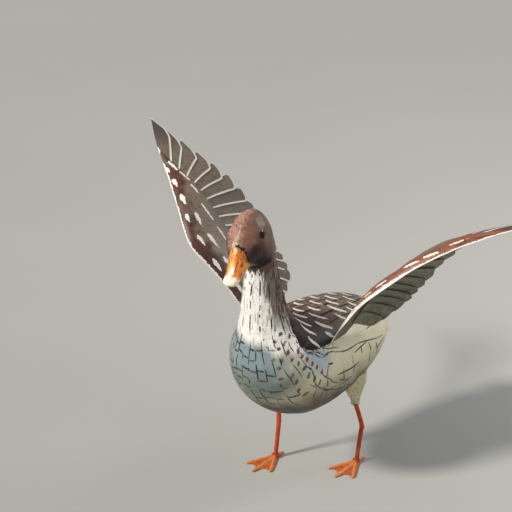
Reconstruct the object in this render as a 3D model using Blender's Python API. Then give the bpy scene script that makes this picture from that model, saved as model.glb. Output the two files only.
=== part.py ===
"""Life-size garden goose of welded sheet steel, painted, with both wings raised.

Metres, +Z up. The goose faces -Y, its left side is +X, and it stands on z = 0.
Body, neck and head are one lofted skin, cut into its named parts. Wings, tail
and feet are plates; legs are bent rods.
"""
import bpy
from math import copysign, cos, sin, pi, radians, exp
from mathutils import Vector

# ---------------------------------------------------------------- sizes
PLACE_Y = -0.016            # sets the middle of bill tip to tail tip over the origin
GAP = 0.0003                # clearance between pieces that touch
PLATE = 0.0024              # thickness of the wing and tail plates
TURN_OF_HEAD = radians(10)  # the head looks a little to its left
NECK_AXIS_Y = -0.155        # the head turns about this upright line
HEAD_PITCH = radians(50)    # how far the head points down

# Stations of the skin, from rump to face. Each is one slanted ellipse:
# (back y, back z, belly y, belly z, half width, narrowing towards the back)
STATIONS = [
    (0.244, 0.283, 0.240, 0.261, 0.020, 0.0),    # rump
    (0.226, 0.305, 0.226, 0.243, 0.050, 0.0),
    (0.182, 0.331, 0.188, 0.219, 0.082, 0.0),
    (0.110, 0.353, 0.122, 0.183, 0.104, 0.0),
    (0.030, 0.365, 0.036, 0.159, 0.112, 0.0),    # widest, over the legs
    (-0.042, 0.371, -0.060, 0.157, 0.110, 0.0),
    (-0.074, 0.379, -0.132, 0.191, 0.102, 0.0),  # breast
    (-0.090, 0.393, -0.172, 0.239, 0.087, 0.0),
    (-0.100, 0.413, -0.188, 0.295, 0.066, 0.0),
    (-0.108, 0.445, -0.186, 0.355, 0.048, 0.0),  # foot of the neck
    (-0.115, 0.477, -0.184, 0.411, 0.040, 0.0),
    (-0.120, 0.503, -0.183, 0.457, 0.034, 0.0),
    (-0.123, 0.525, -0.182, 0.493, 0.0295, 0.0),  # top of the neck
    (-0.126, 0.549, -0.185, 0.512, 0.031, 0.03),
    (-0.135, 0.576, -0.192, 0.515, 0.034, 0.08),
    (-0.151, 0.604, -0.200, 0.517, 0.036, 0.12),
    (-0.176, 0.623, -0.207, 0.520, 0.037, 0.12),  # crown
    (-0.204, 0.622, -0.214, 0.523, 0.0365, 0.10),
    (-0.225, 0.607, -0.220, 0.526, 0.034, 0.06),
    (-0.239, 0.587, -0.225, 0.528, 0.028, 0.03),
    (-0.246, 0.571, -0.230, 0.531, 0.021, 0.0),  # face, behind the bill
]
NECK_FOOT = 9               # stations where the skin is cut into parts
NECK_TOP = 12
FACE = len(STATIONS) - 1
SKIN_SIDES = 28
TRUNK_CUT = (0, NECK_FOOT, 20)          # first station, last station, rings
NECK_CUT = (NECK_FOOT, NECK_TOP, 7)
HEAD_CUT = (NECK_TOP, FACE, 18)

# Lower edge of the back panel, seen from the side: (y, z)
BACK_EDGE = [(0.275, 0.286), (0.200, 0.306), (0.130, 0.328), (0.057, 0.338),
             (-0.041, 0.328), (-0.095, 0.330), (-0.118, 0.339), (-0.128, 0.358),
             (-0.128, 0.520)]

# Head frame: along the bill, to the goose's left, and up out of the forehead
HEAD_CENTRE = Vector((0.0069, -0.195, 0.567))
FORWARD = Vector((sin(TURN_OF_HEAD) * cos(HEAD_PITCH),
                  -cos(TURN_OF_HEAD) * cos(HEAD_PITCH), -sin(HEAD_PITCH)))
LEFTWARD = Vector((cos(TURN_OF_HEAD), sin(TURN_OF_HEAD), 0))
UPWARD = FORWARD.cross(LEFTWARD)
# Bill stations: (forward, half width, ridge, gape line, underside)
BILL = [
    (0.030, 0.0200, 0.042, -0.002, -0.012),
    (0.045, 0.0195, 0.038, 0.002, -0.008),
    (0.060, 0.0175, 0.033, 0.008, -0.001),
    (0.075, 0.0160, 0.030, 0.013, 0.006),
    (0.088, 0.0150, 0.029, 0.017, 0.011),
    (0.096, 0.0115, 0.028, 0.019, 0.014),
    (0.100, 0.0050, 0.026, 0.021, 0.018),
]
BILL_FULLNESS = 0.80        # below 1 the bill's section is boxier than an ellipse
LOWER_BILL = 0.86           # lower bill's width, as a share of the upper's
EYE_RADIUS = 0.0072
EYE_SEAT = (-0.0085, 0.0302, 0.0225)   # eye ball's centre in the head frame

# Wing, measured out, back and up from the front of its root
WING_ROOT = Vector((0.084, -0.044, 0.310))
ROOT_INSIDE = -0.012        # the plate starts this far inside the body
SPAN = 0.451
ARCH = [(-0.020, -0.030), (0, 0), (0.048, 0.068), (0.098, 0.128), (0.150, 0.178),
        (0.199, 0.222), (0.258, 0.261), (0.323, 0.291), (0.381, 0.308), (SPAN, 0.324)]
FRONT = [(-0.020, 0.014), (0, 0), (0.030, -0.018), (0.070, -0.031), (0.105, -0.045),
         (0.132, -0.051), (0.160, -0.039), (0.199, -0.013), (0.258, 0.030),
         (0.323, 0.079), (0.381, 0.130), (SPAN, 0.199)]
REAR = [(-0.020, 0.118), (0, 0.120), (0.033, 0.136), (0.061, 0.192), (0.100, 0.196),
        (0.200, 0.197), (0.270, 0.195), (0.350, 0.188), (0.400, 0.187), (SPAN, 0.199)]
ROLL = [(-0.020, 0.010), (0, 0.014), (0.040, 0.026), (0.100, 0.032), (0.200, 0.030),
        (0.270, 0.019), (0.330, 0.009), (0.400, 0.004), (SPAN, 0)]
REAR_DROP = [(-0.020, 0.012), (0, 0.014), (0.060, 0.032), (0.100, 0.030), (0.140, 0.014),
             (0.200, 0.010), (0.270, 0.014), (0.310, 0.015), (0.388, 0.003), (SPAN, 0)]
ROLL_LENGTH = 0.016         # how quickly the front edge rolls up into the wing
COVERT_REAR = 0.056         # rear edge of the covert plate, back from the root
COVERT_REACH = 0.324        # where that edge runs out into the front edge
FIRST_FEATHER = 0.033       # the innermost flight feather ends this far out
FEATHERS = 17               # flight feathers in one wing
FEATHER_STEP = (0.0125, 0.041)  # spacing of their tips, at the root and at the tip
TOOTH = 0.013               # step between two feather tips
TOOTH_WALL = 0.001          # how far out the plate's edge takes to make that step

# Tail fan, legs and feet
TAIL_ROOT = Vector((0, 0.190, 0.298))
TAIL_TIP_Y = 0.306
TAIL_RISE = -0.006
TAIL_DROP = 0.010           # how much lower the fan's sides are than its middle
TAIL_FEATHERS = 8
TAIL_HALF = 0.056
ROD = 0.005
THIGH_RADIUS = (0.030, 0.0075)
SOLE = 0.003
LEFT_LEG = [(0.073, 0.066, 0.212), (0.075, 0.079, 0.140), (0.077, 0.102, 0.081),
            (0.078, 0.098, 0.066), (0.079, 0.082, 0.0)]
RIGHT_LEG = [(-0.069, 0.000, 0.212), (-0.070, 0.0065, 0.140), (-0.070, 0.008, 0.090),
             (-0.070, 0.0065, 0.070), (-0.071, -0.002, 0.0)]
TOE_LENGTHS = (0.068, 0.080, 0.066)     # outer, middle, inner
TOE_SPREAD = radians(27)


# ---------------------------------------------------------------- helpers
def paint(name, colour, roughness=0.5, metallic=0.0):
    material = bpy.data.materials.new(name)
    material.use_nodes = True
    shader = material.node_tree.nodes["Principled BSDF"]
    shader.inputs["Base Color"].default_value = (*colour, 1)
    shader.inputs["Roughness"].default_value = roughness
    shader.inputs["Metallic"].default_value = metallic
    return material


def add_object(name, points, faces, material=None):
    mesh = bpy.data.meshes.new(name)
    mesh.from_pydata([tuple(p) for p in points], [], faces)
    mesh.validate()
    mesh.shade_smooth()
    mesh.set_sharp_from_angle(angle=radians(40))
    thing = bpy.data.objects.new(name, mesh)
    thing.parent = goose
    bpy.context.scene.collection.objects.link(thing)
    if material:
        mesh.materials.append(material)
    return thing


def as_cutter(thing):
    thing.hide_render = True
    thing.display_type = "WIRE"
    return thing


def cut(thing, cutter, operation="DIFFERENCE"):
    step = thing.modifiers.new("cut by " + cutter.name, "BOOLEAN")
    step.object = cutter
    step.operation = operation
    step.solver = "EXACT"


def through_rows(rows, t):
    """Smooth Catmull-Rom value of a list of rows at the row number t."""
    last = len(rows) - 1
    k = min(max(int(t), 0), last - 1)
    f = t - k
    near = [rows[min(max(k + step, 0), last)] for step in (-1, 0, 1, 2)]
    value = []
    for a, b, c, d in zip(*near):
        value.append(0.5 * (2 * b + (c - a) * f + (2 * a - 5 * b + 4 * c - d) * f ** 2
                            + (3 * b - a - 3 * c + d) * f ** 3))
    return value


def along(keys, x):
    """Smooth value at x of a curve through (x, value) keys."""
    last = len(keys) - 1
    x = min(max(x, keys[0][0]), keys[last][0])
    k = 0
    while k < last - 1 and x > keys[k + 1][0]:
        k += 1
    def slope(i):
        low, high = max(i - 1, 0), min(i + 1, last)
        return (keys[high][1] - keys[low][1]) / (keys[high][0] - keys[low][0])
    width = keys[k + 1][0] - keys[k][0]
    f = (x - keys[k][0]) / width
    return ((2 * f ** 3 - 3 * f ** 2 + 1) * keys[k][1] + (f ** 3 - 2 * f ** 2 + f) * width * slope(k)
            + (3 * f ** 2 - 2 * f ** 3) * keys[k + 1][1] + (f ** 3 - f ** 2) * width * slope(k + 1))


def smooth(low, high, x):
    f = min(max((x - low) / (high - low), 0), 1)
    return f * f * (3 - 2 * f)


def loft(name, rings, material=None):
    """Closed solid through rings of equal length, with a flat cap at each end."""
    count = len(rings[0])
    points = [p for ring in rings for p in ring]
    faces = [tuple(range(count - 1, -1, -1)), tuple(range(len(points) - count, len(points)))]
    for r in range(len(rings) - 1):
        for k in range(count):
            a, b = r * count + k, r * count + (k + 1) % count
            faces.append((a, b, b + count, a + count))
    return add_object(name, points, faces, material)


def plate(name, columns, material, flip=False):
    """Bent plate over a grid of (upper point, lower point) pairs."""
    rows = len(columns[0])
    count = rows * len(columns)
    points = [pair[face] for face in (0, 1) for column in columns for pair in column]
    quads = []
    for c in range(len(columns) - 1):
        for r in range(rows - 1):
            a = c * rows + r
            quads.append((a, a + rows, a + rows + 1, a + 1))
    lower = [tuple(count + k for k in quad[::-1]) for quad in quads]
    edge = [c * rows for c in range(len(columns))]
    edge += [count - rows + r for r in range(1, rows)]
    edge += [c * rows + rows - 1 for c in range(len(columns) - 2, -1, -1)]
    edge += [r for r in range(rows - 2, 0, -1)]
    rim = []
    for a, b in zip(edge, edge[1:] + edge[:1]):
        # the same diagonal either way round, so plates that meet along a rim fit
        near, far = (b + count, a) if a < b else (b, a + count)
        rim += [(a, a + count, near), (b, far, b + count)]
    faces = quads + lower + rim
    return add_object(name, points, [f[::-1] for f in faces] if flip else faces, material)


# ---------------------------------------------------------------- skin
def skin_point(t, angle, grow=0.0):
    """Point of the skin at station t. Angle 0 is the left side, a quarter turn the back."""
    back_y, back_z, belly_y, belly_z, half, narrowing = through_rows(STATIONS, t)
    back, belly = Vector((0, back_y, back_z)), Vector((0, belly_y, belly_z))
    rise = (back - belly) / 2
    rise += rise.normalized() * grow
    place = (back + belly) / 2 + rise * sin(angle)
    place.x = (half + grow) * cos(angle) * (1 - narrowing * sin(angle))
    turn = TURN_OF_HEAD * smooth(NECK_FOOT, NECK_TOP + 2, t)
    out, ahead = place.x, place.y - NECK_AXIS_Y
    return Vector((out * cos(turn) - ahead * sin(turn),
                   NECK_AXIS_Y + out * sin(turn) + ahead * cos(turn), place.z))


def skin_ring(t, grow=0.0):
    return [skin_point(t, 2 * pi * k / SKIN_SIDES, grow) for k in range(SKIN_SIDES)]


def skin_part(name, cuts, material=None, trim=0.0, grow=0.0):
    """Skin between stations; cuts lists (first, last, steps). trim pulls its far end back."""
    stations = [cuts[0][0]]
    for first, last, steps in cuts:
        stations += [first + (last - first) * (k + 1) / steps for k in range(steps)]
    rings = [skin_ring(t, grow) for t in stations]
    if trim:
        inward = sum(rings[-2], Vector()) - sum(rings[-1], Vector())
        rings[-1] = [p + inward.normalized() * trim for p in rings[-1]]
    return loft(name, rings, material)


def in_head(forward, left, up):
    return HEAD_CENTRE + FORWARD * forward + LEFTWARD * left + UPWARD * up


# ---------------------------------------------------------------- bill and eyes
def bill_half(name, upper, material):
    sides = 18
    steps = 12
    rings = []
    for s in range(steps + 1):
        ahead, half, ridge, gape, under = through_rows(BILL, (len(BILL) - 1) * s / steps)
        arc = []
        for k in range(sides + 1):
            angle = pi * k / sides
            across = copysign(abs(cos(angle)) ** BILL_FULLNESS, cos(angle))
            height = max(sin(angle), 0) ** BILL_FULLNESS
            if upper:
                arc.append(in_head(ahead, half * across, gape + (ridge - gape) * height))
            else:
                low = gape - GAP
                arc.append(in_head(ahead, LOWER_BILL * half * across,
                                   low - (low - under) * height))
        rings.append(arc if upper else arc[::-1])
    return loft(name, rings, material)


def eye(name, side, material):
    ahead, left, up = EYE_SEAT
    centre = in_head(ahead, side * left, up)
    turns, rows = 14, 7
    rings = []
    for r in range(1, rows):
        polar = pi * r / rows
        radius, height = EYE_RADIUS * sin(polar), EYE_RADIUS * cos(polar)
        rings.append([centre + Vector((radius * cos(2 * pi * k / turns),
                                       radius * sin(2 * pi * k / turns), -height))
                      for k in range(turns)])
    return loft(name, rings, material)


# ---------------------------------------------------------------- wings
def wing_point(side, out, back):
    """Point of the wing's upper face, out from the root and back from its front."""
    front, rear = along(FRONT, out), along(REAR, out)
    chord = max(rear - front, 1e-4)
    roll, drop = along(ROLL, out), along(REAR_DROP, out)
    share = max((back - front) / chord, 0)
    up = along(ARCH, out) + roll * (1 - exp(-(back - front) / ROLL_LENGTH))
    up -= (roll + drop) * share ** 1.3
    return Vector((side * (WING_ROOT.x + out), WING_ROOT.y + back, WING_ROOT.z + up))


def wing_pair(side, out, back):
    """Upper and lower point of the wing plate, square to its upper face."""
    step = 0.001
    top = wing_point(side, out, back)
    outward = wing_point(side, out + step, back) - wing_point(side, out - step, back)
    rearward = wing_point(side, out, back + step) - top
    square = outward.cross(rearward) * side
    return top, top - square.normalized() * PLATE


def covert_edge(out):
    """Rear edge of the covert plate, back from the root."""
    reach = along(FRONT, COVERT_REACH)
    edge = COVERT_REAR + (reach - COVERT_REAR) * smooth(0.200, COVERT_REACH, out)
    return max(edge, along(FRONT, out) + TOOTH_WALL)


def tip_places():
    """Where the flight feathers end, from the root outwards."""
    places = [FIRST_FEATHER]
    narrow, wide = FEATHER_STEP
    while len(places) < FEATHERS - 1:
        places.append(places[-1] + narrow + (wide - narrow) * smooth(0.050, 0.235, places[-1]))
    return places + [SPAN - TOOTH_WALL]


def wing_stations():
    """Places out from the root where both wing plates have a column, with the tooth there."""
    stations = []
    start = ROOT_INSIDE + TOOTH_WALL
    for tip in tip_places():
        places = [start, (start + tip) / 2, tip]
        if start < COVERT_REACH < tip:
            places[1] = COVERT_REACH
        for out in places:
            tooth = TOOTH * ((tip - out) / (tip - start)) ** 1.7
            stations.append((out, tooth))
        start = tip + TOOTH_WALL
    return stations


def covert_plate(name, side, material):
    columns = []
    rows = 5
    for out, tooth in wing_stations():
        if out <= COVERT_REACH:
            front, rear = along(FRONT, out), covert_edge(out)
            columns.append([wing_pair(side, out, front + (rear - front) * (r / rows) ** 1.6)
                            for r in range(rows + 1)])
    return plate(name, columns, material, flip=side < 0)


def feather_plate(name, side, material):
    columns = []
    rows = 3
    for out, tooth in wing_stations():
        front = along(FRONT, out)
        if out <= COVERT_REACH:
            front = covert_edge(out) + GAP
        rear = max(along(REAR, out) - tooth, front + TOOTH_WALL)
        columns.append([wing_pair(side, out, front + (rear - front) * r / rows)
                        for r in range(rows + 1)])
    return plate(name, columns, material, flip=side < 0)


# ---------------------------------------------------------------- tail, legs, feet
def tail_fan(name, material):
    """Fan of tail feathers in one plate, lower at its sides, each with a round tip."""
    columns = []
    per, rows = 4, 4
    count = TAIL_FEATHERS * per
    for k in range(count + 1):
        share = 2 * k / count - 1
        tooth = 0.010 * (1 - sin(pi * (k % per) / per) ** 0.5)
        length = (TAIL_TIP_Y - TAIL_ROOT.y) * (1 - 0.30 * share ** 2) - tooth
        column = []
        for r in range(rows + 1):
            f = r / rows
            half = TAIL_HALF * (0.50 + 0.50 * f)
            top = TAIL_ROOT + Vector((share * half, length * f,
                                      TAIL_RISE * f - TAIL_DROP * share ** 2))
            column.append((top, top - Vector((0, 0, PLATE))))
        columns.append(column)
    return plate(name, columns, material)


def tube(name, path, radii, material, sides=10):
    """Round bar along a list of points, with flat ends square to Z."""
    rings = []
    for place, radius in zip(path, radii):
        rings.append([Vector(place) + Vector((radius * cos(2 * pi * k / sides),
                                              -radius * sin(2 * pi * k / sides), 0))
                      for k in range(sides)])
    return loft(name, rings, material)


def bent_path(points, steps):
    return [through_rows(points, (len(points) - 1) * k / steps) for k in range(steps + 1)]


def leg(side_name, points, rod_paint, skin_paint, body_cutter):
    thigh_top, thigh_end = Vector(points[0]), Vector(points[1])
    steps = 5
    path = [thigh_top.lerp(thigh_end, k / steps) for k in range(steps + 1)]
    wide, narrow = THIGH_RADIUS
    radii = [wide + (narrow - wide) * (k / steps) ** 0.8 for k in range(steps + 1)]
    thigh = tube("thigh_" + side_name, path, radii, skin_paint, sides=16)
    cut(thigh, body_cutter)
    start = thigh_end - Vector((0, 0, GAP))
    lower = [tuple(start)] + points[2:-1] + [(*points[-1][:2], SOLE + GAP)]
    path = bent_path(lower, 12)
    tube("leg_" + side_name, path, [ROD] * len(path), rod_paint)


def foot(side_name, heel, side, material):
    """Webbed foot cut from plate: three toes, a scalloped web and a short hind toe."""
    outline = [(-0.006, -0.010), (-0.004, -0.026), (0.004, -0.026), (0.006, -0.010)]
    spreads = [TOE_SPREAD, 0, -TOE_SPREAD]
    toes = []
    for spread, length in zip(spreads, TOE_LENGTHS):
        toes.append((sin(spread) * length, cos(spread) * length, spread))
    outline.append((0.0095, 0.004))
    for number, (x, y, spread) in enumerate(toes):
        across, ahead = Vector((cos(spread), -sin(spread))), Vector((sin(spread), cos(spread)))
        point = Vector((x, y))
        for a, b in ((0.0055, -0.012), (0.0022, 0.0), (-0.0022, 0.0), (-0.0055, -0.012)):
            outline.append(tuple(point + across * a + ahead * b))
        if number < 2:
            other = Vector(toes[number + 1][:2])
            for share in (0.25, 0.5, 0.75):
                web = point.lerp(other, share) * (0.90 - 0.10 * sin(pi * share))
                outline.append(tuple(web))
    outline.append((-0.0095, 0.004))
    flat = [Vector((heel[0] + side * x, heel[1] - y, 0)) for x, y in outline]
    if side < 0:
        flat = flat[::-1]
    rings = [[p + Vector((0, 0, z)) for p in flat] for z in (SOLE, 0.0)]
    return loft("foot_" + side_name, rings, material)


# ---------------------------------------------------------------- build
for old in list(bpy.data.objects):
    bpy.data.objects.remove(old)
goose = bpy.data.objects.new("goose", None)
goose.location.y = PLACE_Y
bpy.context.scene.collection.objects.link(goose)

brown = paint("brown paint", (0.10, 0.055, 0.045))
cream = paint("cream paint", (0.62, 0.60, 0.50))
umber = paint("umber paint", (0.115, 0.085, 0.07))
head_brown = paint("head brown paint", (0.16, 0.085, 0.07), 0.4)
orange = paint("orange paint", (0.85, 0.27, 0.02), 0.35)
leg_red = paint("red-orange paint", (0.55, 0.08, 0.02), 0.45)
black = paint("gloss black paint", (0.005, 0.005, 0.006), 0.08)

whole = as_cutter(skin_part("skin_cutter", [TRUNK_CUT, NECK_CUT, HEAD_CUT], grow=GAP))

back_profile = [(y, z) for y, z in BACK_EDGE] + [(0.275, 0.520)]
def saddle(name, lift):
    """Everything over the back panel's lower edge, as wide as the body and more."""
    rings = []
    for x in (0.2, -0.2):
        rings.append([Vector((x, y + lift * (y < -0.12), z + lift)) for y, z in back_profile])
    return as_cutter(loft(name, rings))

over_back = saddle("saddle_cutter", GAP)
under_back = saddle("trunk_top_cutter", 0.0)
trunk = skin_part("trunk", [TRUNK_CUT], cream, trim=GAP)
cut(trunk, under_back)
back = skin_part("back", [TRUNK_CUT], brown, trim=GAP)
cut(back, over_back, "INTERSECT")
skin_part("neck", [NECK_CUT], cream, trim=GAP)
skin_part("head", [HEAD_CUT], head_brown)

for half_name, is_upper in (("bill_upper", True), ("bill_lower", False)):
    cut(bill_half(half_name, is_upper, orange), whole)
for side_name, side in (("left", 1), ("right", -1)):
    cut(eye("eye_" + side_name, side, black), whole)
    cut(covert_plate("wing_" + side_name, side, umber), whole)
    cut(feather_plate("flight_feathers_" + side_name, side, brown), whole)
cut(tail_fan("tail", brown), whole)
leg("left", LEFT_LEG, leg_red, cream, whole)
leg("right", RIGHT_LEG, leg_red, cream, whole)
foot("left", LEFT_LEG[-1], 1, orange)
foot("right", RIGHT_LEG[-1], -1, orange)
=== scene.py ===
# %% [markdown]
# # A painted steel goose, life size
#
# The real thing is a garden ornament: a goose with raised wings, cut and welded from sheet steel
# about 1 mm thick and painted by hand with enamel. Its size, joints and outline are already fixed
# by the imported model. This lesson makes what the eye sees: sheet edges, weld seams, overlapping
# feathers and, above all, the brush work.
#
# The paint is made in two steps. Python measures, for each point of a surface, how deep inside a
# brush stroke it lies, in millimetres, and stores that on the mesh. The material then turns the
# depth into a mask with a ragged edge. So strokes are placed like a painter would place them,
# and their edges stay sharp however close you look.

# %% Load the frame
import random

import bpy
import numpy as np
from math import cos, pi, radians, sin
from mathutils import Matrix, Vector
from mathutils.bvhtree import BVHTree


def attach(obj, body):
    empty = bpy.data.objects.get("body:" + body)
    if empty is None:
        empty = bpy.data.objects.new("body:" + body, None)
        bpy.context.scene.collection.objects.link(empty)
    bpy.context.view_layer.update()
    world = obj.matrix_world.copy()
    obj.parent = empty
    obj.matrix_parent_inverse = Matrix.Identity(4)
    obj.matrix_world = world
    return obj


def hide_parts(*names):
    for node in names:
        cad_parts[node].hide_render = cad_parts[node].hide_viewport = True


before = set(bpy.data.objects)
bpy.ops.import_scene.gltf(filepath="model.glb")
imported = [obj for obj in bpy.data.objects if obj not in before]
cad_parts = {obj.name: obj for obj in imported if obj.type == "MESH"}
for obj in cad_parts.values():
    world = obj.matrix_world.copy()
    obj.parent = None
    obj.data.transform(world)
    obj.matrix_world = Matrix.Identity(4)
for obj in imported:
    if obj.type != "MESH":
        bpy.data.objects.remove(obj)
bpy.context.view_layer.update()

# %% [markdown]
# ## Small tools
#
# Everything below leans on a few helpers: curves through a few chosen values, a mesh from a grid
# of points, and one function each for colour and for adding a shader node.

# %% Curves through a few values
MM = 1000                   # millimetres in a metre
SIDES = {1: "left", -1: "right"}    # the goose's own sides, by the sign of x


def smooth(low, high, x):
    """0 below low, 1 above high, and an easy slope between them."""
    f = np.clip((np.asarray(x, float) - low) / (high - low), 0, 1)
    return f * f * (3 - 2 * f)


def bell(x, width):
    """1 where x is 0, dying away on both sides over about a width."""
    return np.exp(-(x / width) ** 2)


def through_rows(rows, t):
    """Catmull-Rom values of a table of rows, at the row numbers t."""
    rows = np.asarray(rows, float)
    t = np.asarray(t, float)
    k = np.clip(t.astype(int), 0, len(rows) - 2)
    f = (t - k)[..., None]
    a, b, c, d = (rows[np.clip(k + step, 0, len(rows) - 1)] for step in (-1, 0, 1, 2))
    return 0.5 * (2 * b + (c - a) * f + (2 * a - 5 * b + 4 * c - d) * f ** 2
                  + (3 * b - a - 3 * c + d) * f ** 3)


def along(keys, x):
    """Smooth curve through (x, value) keys."""
    at, value = np.array(keys, float).T
    x = np.clip(np.asarray(x, float), at[0], at[-1])
    slope = np.empty(len(at))
    slope[1:-1] = (value[2:] - value[:-2]) / (at[2:] - at[:-2])
    slope[0] = (value[1] - value[0]) / (at[1] - at[0])
    slope[-1] = (value[-1] - value[-2]) / (at[-1] - at[-2])
    k = np.clip(np.searchsorted(at, x, side="right") - 1, 0, len(at) - 2)
    width = at[k + 1] - at[k]
    f = (x - at[k]) / width
    return ((2 * f ** 3 - 3 * f ** 2 + 1) * value[k] + (f ** 3 - 2 * f ** 2 + f) * width * slope[k]
            + (3 * f ** 2 - 2 * f ** 3) * value[k + 1] + (f ** 3 - f ** 2) * width * slope[k + 1])


print("half way up a smooth step:", float(smooth(0, 1, 0.5)))

# %% Meshes from grids
def store(mesh, field, values):
    """Keep one number for each point of a mesh, for its material to read."""
    attribute = mesh.attributes.new(field, "FLOAT", "POINT")
    attribute.data.foreach_set("value", np.asarray(values, np.float32).ravel())


def build(name, points, faces, fields=None, sharp=40):
    """An object from points and faces, with its fields stored as attributes."""
    mesh = bpy.data.meshes.new(name)
    mesh.from_pydata(np.asarray(points, float).tolist(), [], faces)
    for field, values in (fields or {}).items():
        store(mesh, field, values)
    mesh.shade_smooth()
    mesh.set_sharp_from_angle(angle=radians(sharp))
    thing = bpy.data.objects.new(name, mesh)
    bpy.context.scene.collection.objects.link(thing)
    return thing


def closed_tube(grid):
    """Points and faces of a tube of rings with a pole at each end."""
    rings, sides = grid.shape[:2]
    points = np.concatenate([grid.reshape(-1, 3), [grid[0].mean(0)], [grid[-1].mean(0)]])
    last_ring, start, end = (rings - 1) * sides, rings * sides, rings * sides + 1
    faces = []
    for ring in range(0, last_ring, sides):
        for k in range(sides):
            a, b = ring + k, ring + (k + 1) % sides
            faces.append((a, b, b + sides, a + sides))
    for k in range(sides):
        after = (k + 1) % sides
        faces.append((start, after, k))
        faces.append((end, last_ring + k, last_ring + after))
    return points, faces


def sheet(top, under, flip=False):
    """Points and faces of a plate between two grids of points, closed round its rim."""
    columns, rows = top.shape[:2]
    count = columns * rows
    points = np.concatenate([top.reshape(-1, 3), under.reshape(-1, 3)])
    index = np.arange(count).reshape(columns, rows)
    quads = np.stack([index[:-1, :-1], index[1:, :-1], index[1:, 1:], index[:-1, 1:]], -1)
    quads = quads.reshape(-1, 4)
    edge = np.concatenate([index[:, 0], index[-1, 1:], index[-2::-1, -1], index[0, -2:0:-1]])
    after = np.roll(edge, -1)
    rim = np.stack([edge, edge + count, after + count, after], -1)
    faces = np.concatenate([quads, quads[:, ::-1] + count, rim])
    return points, (faces[:, ::-1] if flip else faces).tolist()


def joined(plates):
    """Points, faces and fields of plates, each given as its own three, made into one."""
    starts = np.cumsum([0] + [len(points) for points, _, _ in plates])
    faces = []
    for start, (_, plate_faces, _) in zip(starts.tolist(), plates):
        faces += [tuple(start + k for k in face) for face in plate_faces]
    fields = {name: np.concatenate([fields[name] for _, _, fields in plates])
              for name in plates[0][2]}
    return np.concatenate([points for points, _, _ in plates]), faces, fields


print("helpers for meshes are ready")

# %% Colour and shader nodes
MIX_A, MIX_B, MIXED = 6, 7, 2   # the colour inputs of a Mix node, and its colour output


def linear(colour):
    """An sRGB hex colour as the linear RGBA that shaders take; a socket stays a socket."""
    if not isinstance(colour, str):
        return colour
    parts = [int(colour[k:k + 2], 16) / 255 for k in (0, 2, 4)]
    return tuple(p / 12.92 if p < 0.04045 else ((p + 0.055) / 1.055) ** 2.4 for p in parts) + (1,)


def add(tree, kind, inputs=None, **settings):
    """Add one node with its settings, and set or link its inputs.

    The helpers below find their tree from the socket they are given.
    """
    node = tree.nodes.new(kind)
    for name, value in settings.items():
        setattr(node, name, value)
    for socket, value in (inputs or {}).items():
        if isinstance(value, bpy.types.NodeSocket):
            tree.links.new(value, node.inputs[socket])
        else:
            node.inputs[socket].default_value = value
    return node


def new_material(name):
    """A new material and its object coordinates."""
    material = bpy.data.materials.new(name)
    material.use_nodes = True
    place = add(material.node_tree, "ShaderNodeTexCoord").outputs["Object"]
    return material, place


def shader_of(place):
    """The shader of the material that a socket belongs to."""
    return place.id_data.nodes["Principled BSDF"]


def maths(operation, first, *others):
    """One operation of a Math node, on a socket and more sockets or plain numbers."""
    return add(first.id_data, "ShaderNodeMath", dict(enumerate((first, *others))),
               operation=operation).outputs[0]


def grain(place, size, detail=2.0, stretch=(1, 1, 1)):
    """Noise from 0 to 1 whose patches are about size millimetres."""
    tree = place.id_data
    moved = add(tree, "ShaderNodeMapping", {"Vector": place, "Scale": stretch}).outputs[0]
    return add(tree, "ShaderNodeTexNoise", {"Vector": moved, "Scale": MM / size,
                                            "Detail": detail}).outputs[0]


def stored(place, name):
    """A field that the mesh stores."""
    return add(place.id_data, "ShaderNodeAttribute", attribute_name=name).outputs["Fac"]


def mask(value, level, soft, noise=None, ragged=0.0):
    """1 where a value is over a level, with an edge that noise makes ragged."""
    if noise is not None:
        value = maths("ADD", value, maths("MULTIPLY_ADD", noise, 2 * ragged, -ragged))
    limits = {"Value": value, "From Min": level - soft, "From Max": level + soft}
    return add(value.id_data, "ShaderNodeMapRange", limits,
               interpolation_type="SMOOTHSTEP").outputs[0]


def lower(value, level, soft, noise=None, ragged=0.0):
    """1 where a value is under a level: the mask of the same value with its sign turned."""
    return mask(maths("MULTIPLY", value, -1.0), -level, soft, noise, ragged)


def product(first, second):
    """Two masks multiplied."""
    return maths("MULTIPLY", first, second)


def coats(base, layers):
    """Lay coats of colour over a base, each through its own mask."""
    for through, colour in layers:
        inputs = {0: through, MIX_A: linear(base), MIX_B: linear(colour)}
        base = add(through.id_data, "ShaderNodeMix", inputs, data_type="RGBA").outputs[MIXED]
    return base


print("cream enamel in linear light:", [round(c, 3) for c in linear("E9E2D0")])

# %% [markdown]
# ## The hull: trunk and neck
#
# The real hull is hammered from long strips of sheet, welded edge to edge like the staves of a
# barrel and ground back, so dark broken lines run from the neck down the breast and back under
# the belly. One lofted surface gives that form: slanted ellipses from rump to face, each set by
# where the back and the belly are. The columns of its mesh follow the staves, so that each weld
# falls on a row of points and stays thin and sharp.

# %% The skin's formula
PLACE_Y = -0.016            # the skin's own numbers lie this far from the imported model's
TURN_OF_HEAD = radians(10)  # the head looks a little to its left
NECK_AXIS_Y = -0.155
NECK_FOOT, NECK_TOP, JAW, FACE = 9, 12, 12.85, 20
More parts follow.
